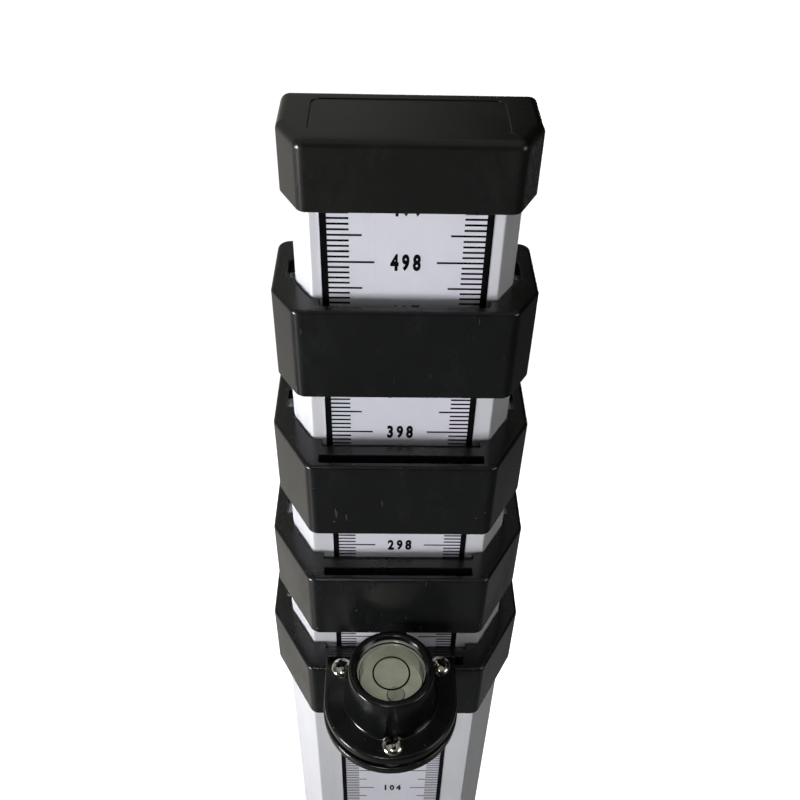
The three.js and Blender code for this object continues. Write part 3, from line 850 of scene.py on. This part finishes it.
def build_buttons(n, shoulder):
    """Pair of pins with a flange whose outer face is at the shoulder, and rounded tips."""
    tip = INNER_HALF_WIDTH + offset_of(n) + 0.6
    rounding = 0.75
    profile = [(0, shoulder - 5.0), (1.2, shoulder - 5.0), (1.4, shoulder - 4.8),
               (1.4, shoulder - 1.0), (2.75, shoulder - 1.0), (2.9, shoulder - 0.88),
               (2.9, shoulder - 0.12), (2.78, shoulder), (BUTTON_RADIUS, shoulder),
               (BUTTON_RADIUS, tip - rounding)]
    for k in range(1, 7):
        angle = math.pi / 2 * k / 6
        profile.append((BUTTON_RADIUS - rounding + rounding * math.cos(angle),
                        tip - rounding + rounding * math.sin(angle)))
    profile.append((0, tip))
    pin = lathe(profile, 48)
    for side, turn in (("right", ALONG_X), ("left", ALONG_NX)):
        node = f"section_{n}_button_{side}"
        place(f"{node}_pin", moved(pin, 0, BUTTON[n].y, BUTTON[n].z, turn),
              f"lock_button_{n}_{side}", "nickel_steel", stands_for=node)


def build_spring(n, shoulder):
    """Coil along X between the two buttons, at its pressed-in length."""
    half = shoulder - 1.0 - 0.42 - 1.2
    turns, coil_radius, wire_radius = 7, 2.15, 0.32
    sides, steps_per_turn = 10, 36
    steps = turns * steps_per_turn
    verts, faces = [], []
    for i in range(steps + 1):
        t = i / steps
        angle = 2 * math.pi * turns * t
        eased = 3 * t * t - 2 * t * t * t           # tightens the pitch at both ends
        x = -half + 2 * half * (0.82 * t + 0.18 * eased)
        cos, sin = math.cos(angle), math.sin(angle)
        centre = np.array([x, coil_radius * cos, coil_radius * sin])
        outward = np.array([0, cos, sin])
        tangent = np.array([2 * half / (turns * 2 * math.pi * coil_radius), -sin, cos])
        tangent /= np.linalg.norm(tangent)
        binormal = np.cross(tangent, outward)
        for k in range(sides):
            around = 2 * math.pi * k / sides
            verts.append(centre + wire_radius * (math.cos(around) * outward
                                                 + math.sin(around) * binormal))
    for i in range(steps):
        a, b = i * sides, (i + 1) * sides
        for k in range(sides):
            k2 = (k + 1) % sides
            faces.append((a + k, a + k2, b + k2, b + k))
    faces.append(tuple(reversed(range(sides))))
    faces.append(tuple(range(steps * sides, (steps + 1) * sides)))
    coil = make(verts, faces)
    fix_normals(coil)
    node = f"section_{n}_button_spring"
    place(f"{node}_coil", coil, NODE_BODY[node], "spring_steel", 0, BUTTON[n].y, BUTTON[n].z,
          stands_for=node)


for n in MOVING:
    shoulder = INNER_HALF_WIDTH + offset_of(n) - 3.4
    build_end_block(n)
    build_buttons(n, shoulder)
    build_spring(n, shoulder)


# ------------------------------------------------------------------ foot
FOOT_SCREW_X = 15
FOOT_SCREW_Y = mid("foot_screw_left").y
FOOT_SIDES = (("left", -FOOT_SCREW_X), ("right", FOOT_SCREW_X))


def at_foot_screws(tool):
    return [moved(tool, x, FOOT_SCREW_Y) for _, x in FOOT_SIDES]


def build_shoe():
    lo, hi = box("foot_shoe")
    outer = tube_corners(offset_of(1) + 2.0)
    radii = corner_radii(1.4, 3.0)
    shoe = block(outer, radii, lo.z, hi.z, 0.5, 0.9, seg=8, steps=5)
    pocket = socket(offset_of(1), [(0, 6.0), (0, hi.z - 0.4), (0.4, hi.z + 0.001),
                                   (0.4, hi.z + 2)])
    shoe = cut(shoe, pocket, *at_foot_screws(cylinder(1.65, 1.0, 6.5, 32)))
    # four grip grooves round the shoe; stations are (growth, z from the middle of the groove)
    groove = [(0.4, -0.55), (0.4, 0.55), (0.02, 0.55), (-0.40, 0.28), (-0.40, -0.28),
              (0.02, -0.55)]
    grooves = []
    for k in range(4):
        z = lo.z + 5.0 + 4.2 * k
        grooves.append(loft([(ring(outer, radii, growth, 8), z + dz) for growth, dz in groove],
                            closed=True))
    place("foot_shoe_moulding", cut(shoe, *grooves), "base", "black_abs",
          stands_for="foot_shoe")


def build_foot_plate():
    plate = block(tube_corners(offset_of(1) + 1.4), corner_radii(1.2, 2.6),
                  0, box("foot_plate")[1].z, 0.3, 0.2, seg=8, steps=4)
    sink = lathe([(0, -1), (3.4, -1), (3.4, 0.0), (3.2, 0.12), (1.7, 1.6), (1.7, 3), (0, 3)], 40)
    place("foot_plate_pressing", cut(plate, *at_foot_screws(sink)), "base", "zinc_steel",
          stands_for="foot_plate")


def build_foot_screws():
    screw = lathe([(0, -5.0), (0.9, -5.0), (1.5, -4.5), (1.5, -1.5), (2.9, -0.22),
                   (3.0, -0.12), (2.9, -0.05), (1.6, 0.0), (0, 0.01)], 40)
    screw = cut(screw, cross_recess(1.9, 0.36, depth=1.2, z=0.0))
    screw = moved(screw, 0, 0, 0.12, UPSIDE_DOWN)
    for side, x in FOOT_SIDES:
        place(f"foot_screw_{side}_head", screw, "base", "zinc_steel", x, FOOT_SCREW_Y, 0,
              stands_for=f"foot_screw_{side}", sharp=28)


build_shoe()
build_foot_plate()
build_foot_screws()


# ------------------------------------------------------------------ circular level
LEVEL_X, LEVEL_Y = -1.25, -29.5     # axis of the vial; level parts are drawn round it
LEVEL_RADIUS = 14.05
LEVEL_BACK = -19.75 - LEVEL_Y       # straight back edge
PLATE_THICK = 2.0
FLANGE = 2.2                        # thickness of the housing's flange
HOUSING_Z = box("level_housing")[0].z
LEVEL_SCREWS = {                    # x and y from the axis, turn of the cross in radians
    "left": (-10.5, 6.2, 0.35),
    "right": (10.6, 6.8, 0.9),
    "front": (0.4, -11.2, 0.2),
}


def at_level_screws(tool):
    return [moved(tool, x, y) for x, y, _ in LEVEL_SCREWS.values()]


def u_solid(radius, z0, z1, fillet0, fillet1, steps=5):
    """Half disc in front, carried straight back to LEVEL_BACK, with rounded edges."""
    front_seg, corner_seg = 64, 5

    def outline(distance):
        grown = radius + distance
        points = []
        for i in range(front_seg + 1):
            angle = math.pi + math.pi * i / front_seg
            points.append((grown * math.cos(angle), grown * math.sin(angle)))
        corner = max(0.8 + distance, 0.05)
        for x, start in ((grown - corner, 0.0), (-grown + corner, math.pi / 2)):
            for i in range(corner_seg + 1):
                angle = start + math.pi / 2 * i / corner_seg
                points.append((x + corner * math.cos(angle),
                               LEVEL_BACK + distance - corner + corner * math.sin(angle)))
        return points

    return fillet_loft(outline, z0, z1, fillet0, fillet1, steps)


def build_level_plate():
    """Plate under the housing, with a tongue that hangs in the slot of collar 1."""
    lo, hi = box("level_plate")
    plate_z = hi.z - PLATE_THICK
    slot_y = -(COLLAR[1].front - (SLOT_FRONT + SLOT_BACK) / 2) - LEVEL_Y
    half_width, half_thick = 13.4, 0.75
    plate = u_solid(LEVEL_RADIUS + 0.25, 0, PLATE_THICK, 0.35, 0.45)
    neck = block(rect(-half_width, half_width, LEVEL_BACK - 1, slot_y + half_thick), [0.4] * 4,
                 0, PLATE_THICK, 0.3, 0.45, seg=4, steps=4)
    tongue = block(rect(-half_width, half_width, slot_y - half_thick, slot_y + half_thick),
                   [0.3] * 4, lo.z - plate_z, 1.6, 0.3, 0.1, seg=4, steps=3)
    plate = join(plate, neck, tongue)
    plate = cut(plate, *at_level_screws(cylinder(1.3, -1, 3, 32)))
    place("level_plate_pressing", plate, "base", "black_steel", LEVEL_X, LEVEL_Y, plate_z,
          stands_for="level_plate")


def build_housing():
    """Flange with a waisted barrel round the vial."""
    height = box("level_housing")[1].z - HOUSING_Z
    flange = cut(u_solid(LEVEL_RADIUS, 0, FLANGE, 0.3, 0.55, steps=6),
                 cylinder(7.4, -1, FLANGE + 1, 96))
    profile = [(7.4, 0.2), (10.3, 0.2), (10.25, FLANGE - 0.05), (9.95, FLANGE + 0.12),
               (9.72, FLANGE + 0.42), (9.55, FLANGE + 1.0), (9.35, FLANGE + 2.4),
               (9.15, FLANGE + 4.2), (8.98, FLANGE + 6.4), (8.86, height - 1.2)]
    for k in range(9):                              # rounded top rim
        angle = math.pi * k / 8
        profile.append((8.05 + 0.72 * math.cos(angle), height - 0.42 + 0.42 * math.sin(angle)))
    profile += [(7.05, height - 0.62), (7.0, height - 0.72), (7.4, height - 0.76)]
    housing = join(flange, lathe(profile, 112, closed=True))
    head_room = lathe([(0, FLANGE + 0.02), (2.3, FLANGE + 0.02), (2.45, FLANGE + 0.2),
                       (2.45, height + 1), (0, height + 1)], 48)
    hole = cylinder(1.4, -1, FLANGE + 1, 32)
    housing = cut(housing, *at_level_screws(head_room), *at_level_screws(hole))
    place("level_housing_moulding", housing, "base", "black_abs_level_painted_shade", LEVEL_X, LEVEL_Y,
          HOUSING_Z, stands_for="level_housing", sharp=40)


def build_vial():
    """White cup with fluid, bubble and lens, all measured up from the bottom of the cup."""
    bubble = mid("level_vial_bubble")
    bubble_x, bubble_y = bubble.x - LEVEL_X, bubble.y - LEVEL_Y
    cup = lathe([(0, 0), (7.1, 0), (7.3, 0.2), (7.3, 6.25), (7.2, 6.4), (6.85, 6.4),
                 (6.7, 6.25), (6.7, 1.7), (6.55, 1.35), (6.2, 1.2), (0, 1.2)], 96)
    place("level_vial_cup_moulding", cup, "base", "vial_white", LEVEL_X, LEVEL_Y, CUP_Z,
          stands_for="level_vial_cup")
    hollow = lathe([(0, 5.68), (0.8, 5.72), (1.35, 5.84), (1.75, 6.05), (1.95, 6.3),
                    (1.99, 6.5), (1.99, 7.2), (0, 7.2)], 64)
    fluid = lathe([(0, 1.3), (6.1, 1.3), (6.5, 1.5), (6.6, 1.9), (6.6, 6.38), (6.5, 6.50),
                   (5.5, 6.62), (4.0, 6.74), (2.0, 6.82), (0, 6.84)], 96)
    fluid = cut(fluid, moved(hollow, bubble_x, bubble_y))
    gas = lathe([(0, 5.76), (0.75, 5.80), (1.28, 5.91), (1.64, 6.1), (1.82, 6.3),
                 (1.84, 6.4), (1.70, 6.47), (0, 6.50)], 64)
    lens = lathe([(0, 6.95), (2.0, 6.93), (4.0, 6.86), (5.5, 6.74), (6.5, 6.62), (6.68, 6.45),
                  (7.1, 6.45), (7.3, 6.65), (7.3, 7.9), (7.1, 8.1), (3.5, 8.1), (0, 8.1)], 96)
    for node, part, mesh, material, x, y in (
            ("level_vial_fluid", "body", fluid, "vial_fluid", LEVEL_X, LEVEL_Y),
            ("level_vial_bubble", "gas", gas, "vial_bubble",
             LEVEL_X + bubble_x, LEVEL_Y + bubble_y),
            ("level_vial_lens", "disc", lens, "acrylic", LEVEL_X, LEVEL_Y)):
        piece = place(f"{node}_{part}", mesh, "base", material, x, y, CUP_Z, stands_for=node)
        piece.visible_shadow = False                # lets light through to the cup
        piece.visible_diffuse = False
    circle = lathe([(3.54, 6.80), (3.90, 6.80), (3.90, 6.845), (3.54, 6.845)], 96, closed=True)
    place("level_vial_ring_print", circle, "base", "scale_ink", LEVEL_X, LEVEL_Y, CUP_Z)


def pan_screw():
    seat = FLANGE + 0.05                            # underside of the head
    profile = [(0, -6.2), (0.75, -6.2)]
    z = -6.0
    while z < seat - 1.3:                           # thread
        profile += [(0.98, z), (1.2, z + 0.2)]
        z += 0.4
    profile += [(1.0, seat - 0.9), (1.15, seat - 0.5), (1.15, seat), (2.12, seat),
                (2.25, seat + 0.12), (2.27, seat + 0.45)]
    for k in range(1, 9):                           # domed head
        angle = math.pi / 2 * k / 8
        radius = 2.27 * math.cos(angle) ** 0.85 if k < 8 else 0.0
        profile.append((radius, seat + 0.45 + 1.25 * math.sin(angle)))
    return cut(lathe(profile, 56), cross_recess(1.50, 0.40, depth=1.25, z=seat + 1.45))


def build_level_screws():
    """Adjusting screws, each with a rubber ring below the housing."""
    screw = pan_screw()
    spacer = lathe([(1.45, -1.36), (2.35, -1.36), (2.58, -1.2), (2.6, -0.7), (2.58, -0.2),
                    (2.35, -0.04), (1.45, -0.04)], 48, closed=True)
    for side, (x, y, turn) in LEVEL_SCREWS.items():
        node = f"level_screw_{side}"
        head = place(f"{node}_head", moved(screw, turn=Matrix.Rotation(turn, 4, "Z")),
                     NODE_BODY[node], "nickel_steel", LEVEL_X + x, LEVEL_Y + y, HOUSING_Z,
                     stands_for=node, sharp=30)
        head.visible_glossy = False
        node = f"level_spacer_{side}"
        place(f"{node}_ring", spacer, "base", "rubber", LEVEL_X + x, LEVEL_Y + y, HOUSING_Z,
              stands_for=node)


build_level_plate()
build_housing()
build_vial()
build_level_screws()


# ------------------------------------------------------------------ printed scales
def digit_solids(bold, squeeze):
    """Digits 0-9 from the built-in font as solids 1 high and 1 deep: {digit: (verts, faces)}."""
    digits = {}
    for character in "0123456789":
        curve = bpy.data.curves.new("digit", "FONT")
        curve.body = character
        curve.size = 1.0
        curve.offset = bold
        curve.extrude = 0.5
        curve.resolution_u = 3
        text = bpy.data.objects.new("digit", curve)
        bpy.context.scene.collection.objects.link(text)
        depsgraph = bpy.context.evaluated_depsgraph_get()
        mesh = bpy.data.meshes.new_from_object(text.evaluated_get(depsgraph))
        bpy.data.objects.remove(text)
        bm = bmesh.new()
        bm.from_mesh(mesh)
        bmesh.ops.remove_doubles(bm, verts=bm.verts, dist=1e-4)
        bmesh.ops.recalc_face_normals(bm, faces=bm.faces)
        verts = np.array([v.co[:] for v in bm.verts])
        bm.verts.index_update()
        faces = [[v.index for v in f.verts] for f in bm.faces]
        bm.free()
        lo, hi = verts.min(0), verts.max(0)
        verts[:, 0] = (verts[:, 0] - (lo[0] + hi[0]) / 2) * squeeze
        verts[:, 1] -= lo[1]
        verts[:, :2] /= hi[1] - lo[1]
        verts[:, 2] -= verts[:, 2].min()
        verts[:, 2] /= verts[:, 2].max()
        digits[character] = (verts, faces)
    return digits


DIGITS = digit_solids(bold=0.050, squeeze=0.60)
FILM_THICK = 0.05
INK_SUNK, INK_RAISED = 0.015, 0.02      # ink below and above the face of the film
FILM_SHIFT = {1: 0.0, 2: 0.05, 3: 0.22, 4: -0.30, 5: -0.04}     # front films off centre
FRONT_FILM_HALF, BACK_FILM_HALF = 13.80, 15.0
FRAME_LINE = (12.5, 13.62)              # x range of the lines beside the front scale
BACK_FRAME_LINE = (14.2, 14.6)
MARKS = ((10, 7.5, 0.36), (5, 5.5, 0.36), (1, 3.45, 0.37))      # every so many mm: length, width


class Print:
    """Collects closed flat shapes on the film of one face (side -1: front, +1: back)."""
    BAR_FACES = [(0, 1, 2, 3), (7, 6, 5, 4), (0, 4, 5, 1), (1, 5, 6, 2), (2, 6, 7, 3),
                 (3, 7, 4, 0)]

    def __init__(self, tube_y, side):
        face = tube_y + side * FILM_THICK
        self.side = side
        self.y_in = face - side * INK_SUNK
        self.y_out = face + side * INK_RAISED
        self.verts, self.faces, self.count = [], [], 0

    def add(self, verts, faces):
        self.verts.append(verts)
        self.faces += [[i + self.count for i in face] for face in faces]
        self.count += len(verts)

    def bar(self, x0, x1, z0, z1):
        self.add(np.array([(x, y, z) for y in (self.y_in, self.y_out)
                           for x, z in rect(x0, x1, z0, z1)], float), self.BAR_FACES)

    def text(self, string, x, z, height, pitch):
        """Digits centred on x and z."""
        for i, character in enumerate(string):
            solid, faces = DIGITS[character]
            across = solid[:, 0] * height + (i - (len(string) - 1) / 2) * pitch
            up = (solid[:, 1] - 0.5) * height
            y = self.y_in + (self.y_out - self.y_in) * solid[:, 2]
            self.add(np.stack([x - self.side * across, y, z + up], 1), faces)

    def place(self, name, body, material):
        mesh = make(np.concatenate(self.verts), self.faces)
        fix_normals(mesh)
        for polygon in mesh.polygons:
            polygon.use_smooth = False
        place(name, mesh, body, material, flat=True)


def build_film(name, body, material, tube_y, side, half, shift, z0, z1):
    """Thin strip with rounded corners and a fine chamfer round its face."""
    chamfer = 0.012
    edge = rounded(rect(-half, half, z0, z1), [0.4] * 4, 4)
    face = rounded(rect(-half + chamfer, half - chamfer, z0 + chamfer, z1 - chamfer),
                   [0.39] * 4, 4)
    verts = []
    for outline, height in ((edge, -0.02), (edge, FILM_THICK - chamfer), (face, FILM_THICK)):
        verts += [(x + shift, tube_y + side * height, z) for x, z in outline]
    k = len(edge)
    faces = [tuple(range(k)), tuple(range(3 * k - 1, 2 * k - 1, -1))]
    for r in (0, 1):
        faces += [(r * k + i, (r + 1) * k + i, (r + 1) * k + (i + 1) % k, r * k + (i + 1) % k)
                  for i in range(k)]
    mesh = make(verts, faces)
    fix_normals(mesh)
    place(name, mesh, body, material, flat=True)


def build_front_scale(body, tube_y, shift, datum, z0, z1):
    """Millimetre marks from both sides, centimetre numerals in the middle."""
    marks, numerals = Print(tube_y, -1), Print(tube_y, -1)
    line_in, line_out = FRAME_LINE
    for sign in (-1, 1):
        marks.bar(*sorted((shift + sign * line_in, shift + sign * line_out)),
                  z0 + 0.02, z1 - 0.02)
    for reading in range(math.ceil(z0 + datum + 0.5), math.floor(z1 + datum - 0.5) + 1):
        z = reading - datum
        length, width = next((l, w) for every, l, w in MARKS if reading % every == 0)
        low, high = z - width / 2, z + width / 2
        marks.bar(shift - line_in - 0.05, shift - line_in + length, low, high)
        marks.bar(shift + line_in - length, shift + line_in + 0.05, low, high)
        if reading % 10 == 0 and z - 1.8 > z0 and z + 1.8 < z1:
            numerals.text(str(reading // 10), shift, z, height=3.2, pitch=1.80)
    marks.place(f"{body}_scale_marks", body, "scale_ink")
    numerals.place(f"{body}_scale_numerals", body, "scale_ink")


def build_back_scale(body, tube_y, datum, z0, z1):
    """Centimetre blocks in groups of five, black and red by turns of a metre."""
    black, red = Print(tube_y, 1), Print(tube_y, 1)
    line_in, line_out = BACK_FRAME_LINE
    for sign in (-1, 1):
        black.bar(*sorted((sign * line_in, sign * line_out)), z0 + 0.3, z1 - 0.3)
    first = math.ceil((z0 + datum + 0.6) / 10)
    last = math.floor((z1 + datum - 0.6) / 10) - 1
    for reading in range(first, last + 1):
        colour = red if (reading // 100) % 2 else black
        z = reading * 10 - datum
        step = reading % 10
        sign = -1 if step < 5 else 1    # lower half-decimetre on one side, upper on the other
        if step % 5 in (0, 2, 4):
            colour.bar(*sorted((0.0, sign * 14.15)), z, z + 10)
        else:                           # narrow link, just overlapping the blocks
            colour.bar(*sorted((0.0, sign * 3.6)), z - 0.001, z + 10.001)
        if step == 0 and reading + 4 <= last:
            colour.text("%02d" % ((reading // 10) % 100), 7.2, z + 25, height=15.0, pitch=6.4)
    black.place(f"{body}_back_marks_black", body, "scale_ink_back")
    if red.count:
        red.place(f"{body}_back_marks_red", body, "scale_ink_red")


def build_scales(n):
    body = BODY[n]
    lo, hi = box(f"{body}_tube")
    z0 = box("foot_shoe")[1].z + 0.4 if n == 1 else lo.z + 1.0
    z1 = hi.z - 0.4
    shift = FILM_SHIFT[n]
    build_film(f"{body}_front_scale_film", body, "scale_film", lo.y, -1, FRONT_FILM_HALF,
               shift, z0, z1)
    build_film(f"{body}_back_scale_film", body, "scale_film_back", hi.y, 1, BACK_FILM_HALF,
               0.0, z0, z1)
    build_front_scale(body, lo.y, shift, DATUM[n], z0, z1)
    build_back_scale(body, hi.y, DATUM[n], z0, z1)


for n in SECTIONS:
    build_scales(n)

for node in NODES.values():             # any frame piece still shown
    if not node.hide_render:
        node.data.materials.clear()
        node.data.materials.append(MATERIALS["black_nylon"])


# ------------------------------------------------------------------ floor (metres from here on)
FLOOR_DIM = 0.084           # light the rod receives from the floor all round,
FLOOR_LEFT = 0.43           # added on the left
FLOOR_MID = 0.116           # and added in the middle, towards the back


def floor_material():
    """White to the camera; to the rod it is a room with brighter and darker parts."""
    m = Material("floor")
    light_path = m.node("ShaderNodeLightPath")
    position = m.node("ShaderNodeNewGeometry").outputs["Position"]
    x, y, _ = m.node("ShaderNodeSeparateXYZ", {0: position}).outputs
    left = m.ramp(x, span=(-0.12, -0.60))
    right = m.ramp(x, span=(0.25, 1.1))
    back = m.ramp(y, span=(-0.35, 0.35))
    left_glow = m.times(left, m.plus(0.25, m.times(back, 0.75)))
    strength = m.plus(FLOOR_DIM, m.times(left_glow, FLOOR_LEFT))
    middle = m.times(back, m.minus(1.0, m.larger(left, right)))
    strength = m.plus(strength, m.times(middle, FLOOR_MID))
    strength = m.minus(strength, m.times(right, FLOOR_DIM * 0.5))
    # a widening strip of light to the front left, seen in the rounded left-hand edges
    toward_x, toward_y = 0.83, 0.557
    along = m.plus(m.times(x, -toward_x), m.times(y, -toward_y))
    across = m.math("ABSOLUTE", m.minus(m.times(x, toward_y), m.times(y, toward_x)))
    slope = m.math("DIVIDE", across, m.larger(along, 0.01))
    strip = m.times(m.ramp(slope, span=(0.24, 0.06)), m.ramp(along, span=(0.55, 1.05)))
    strip_light = m.ramp(along, span=(0.7, 2.0), to=(0.65, 1.30))
    strength = m.plus(strength, m.times(strip, strip_light))
    colour = m.mix((0.97, 0.985, 1.0), (1.0, 0.955, 0.885), by=m.minus(left, strip))
    room = m.emission(colour, strength)
    grain = m.ramp(m.noise(scale=9, detail=4.0, rough=0.6), span=(0.3, 0.7))
    diffuse = m.add("ShaderNodeBsdfDiffuse", {
        "Color": m.mix((0.80, 0.80, 0.80), (0.84, 0.84, 0.84), by=grain)})
    seen = m.add_shaders(diffuse, m.emission((1, 1, 1), 0.93))
    m.finish(m.mix_shaders(light_path.outputs["Is Camera Ray"], room, seen))


floor_verts = [(x, y, 0) for x, y in rect(-40, 40, -40, 40)]
floor = bpy.data.objects.new("floor", make(floor_verts, [(0, 1, 2, 3)], "floor"))
floor.location.z = -0.0006
bpy.context.scene.collection.objects.link(floor)
floor_material()
floor.data.materials.append(MATERIALS["floor"])

# ------------------------------------------------------------------ world
SKY_BASE = 0.0              # strength everywhere, then what each direction adds
SKY_LEFT = 0.035
SKY_TOP = 0.287
SKY_FRONT = 0.0
SKY_BACK = 0.256            # behind the rod, left of centre


def build_world():
    world = bpy.data.worlds.new("studio")
    bpy.context.scene.world = world
    world.use_nodes = True
    g = Graph(world.node_tree, "ShaderNodeOutputWorld", "Generated")
    x, y, z = g.node("ShaderNodeSeparateXYZ", {0: g.coordinates}).outputs
    strength = SKY_BASE
    for part, amount in (
            (g.ramp(x, span=(0.1, -0.8)), SKY_LEFT),
            (g.ramp(z, span=(0.55, 0.95)), SKY_TOP),
            (g.ramp(y, span=(0.0, -0.8)), SKY_FRONT),
            (g.times(g.ramp(y, span=(0.15, 0.5)), g.ramp(x, span=(0.18, -0.04))), SKY_BACK)):
        strength = g.plus(strength, g.times(part, amount))
    room = g.add("ShaderNodeBackground", {"Color": (0.99, 0.98, 0.905), "Strength": strength})
    seen = g.add("ShaderNodeBackground", {"Color": (1, 1, 1), "Strength": 1.0})
    camera_ray = g.node("ShaderNodeLightPath").outputs["Is Camera Ray"]
    g.finish(g.mix_shaders(camera_ray, room, seen))


build_world()

# ------------------------------------------------------------------ lights
COOL = (0.965, 0.968, 1.0)
WARM = (1.0, 0.99, 0.97)


def area(name, at, target, size, power, colour, spread=180):
    """Square area light hidden from the camera; spread in degrees."""
    light = bpy.data.lights.new(name, "AREA")
    light.energy = power
    light.color = colour
    light.shape = "SQUARE"
    light.size = size
    light.spread = math.radians(spread)
    lamp = bpy.data.objects.new(name, light)
    lamp.location = at
    lamp.rotation_mode = "QUATERNION"
    lamp.rotation_quaternion = (Vector(target) - Vector(at)).to_track_quat("-Z", "Y")
    bpy.context.scene.collection.objects.link(lamp)
    lamp.visible_camera = False


area("window_upper", at=(-1.05, -0.62, 1.14), target=(0, 0, 1.34), size=0.3, power=2.35,
     colour=COOL, spread=58)
area("window_lower", at=(-0.72, -0.98, 0.22), target=(0, 0, 0.20), size=0.45, power=1.15,
     colour=COOL, spread=46)
area("window_high", at=(-1.6, -2.0, 3.45), target=(0, 0, 3.35), size=0.7, power=6.0,
     colour=COOL, spread=56)
area("fill_right_low", at=(0.95, -0.5, 0.24), target=(0, 0, 0.20), size=0.45, power=0.9,
     colour=WARM, spread=46)
area("window_left", at=(-1.2, 0.05, 1.10), target=(0, 0, 1.12), size=0.5, power=0.0,
     colour=(0.97, 0.985, 1.0))
area("fill_right", at=(0.95, -0.5, 1.50), target=(0, 0, 1.1), size=0.5, power=2.5, colour=WARM)
area("fill_back", at=(0.3, 1.15, 0.65), target=(0, 0, 0.6), size=0.7, power=9.0, colour=WARM)
area("window_level",
     at=((LEVEL_X - 30) * MM, (LEVEL_Y - 110) * MM, (HOUSING_Z + 190) * MM),
     target=(LEVEL_X * MM, LEVEL_Y * MM, (HOUSING_Z + 8) * MM),
     size=0.06, power=0.0014, colour=(1.0, 0.99, 0.95), spread=10)
area("fill_right_back", at=(0.9, 0.6, 1.3), target=(0, 0, 1.0), size=0.6, power=0.0, colour=WARM)

# ------------------------------------------------------------------ camera
CAMERA_AT = (-0.0033905, -0.1289875, 1.2875593)
CAMERA_RIGHT = Vector((0.9997853087484496, -0.007256924122574949, 0.019408077263001942))
CAMERA_DOWN = Vector((0.009598280946552733, -0.6679064945051704, -0.7441833024199654))
CAMERA_FORWARD = Vector((0.018363262608766064, 0.7442098169535886, -0.6676934468274102))

camera_data = bpy.data.cameras.new("camera")
camera = bpy.data.objects.new("camera", camera_data)
bpy.context.scene.collection.objects.link(camera)
axes = Matrix((CAMERA_RIGHT, -CAMERA_DOWN, -CAMERA_FORWARD)).transposed()
camera.matrix_world = Matrix.Translation(CAMERA_AT) @ axes.to_4x4()
camera_data.sensor_width = 36.0
camera_data.lens = 40.47075
camera_data.clip_start = 0.005
camera_data.clip_end = 200.0
bpy.context.scene.camera = camera

view = bpy.context.scene.view_settings
view.view_transform = "Standard"
view.look = "None"
view.exposure = 0.0
view.gamma = 1.0
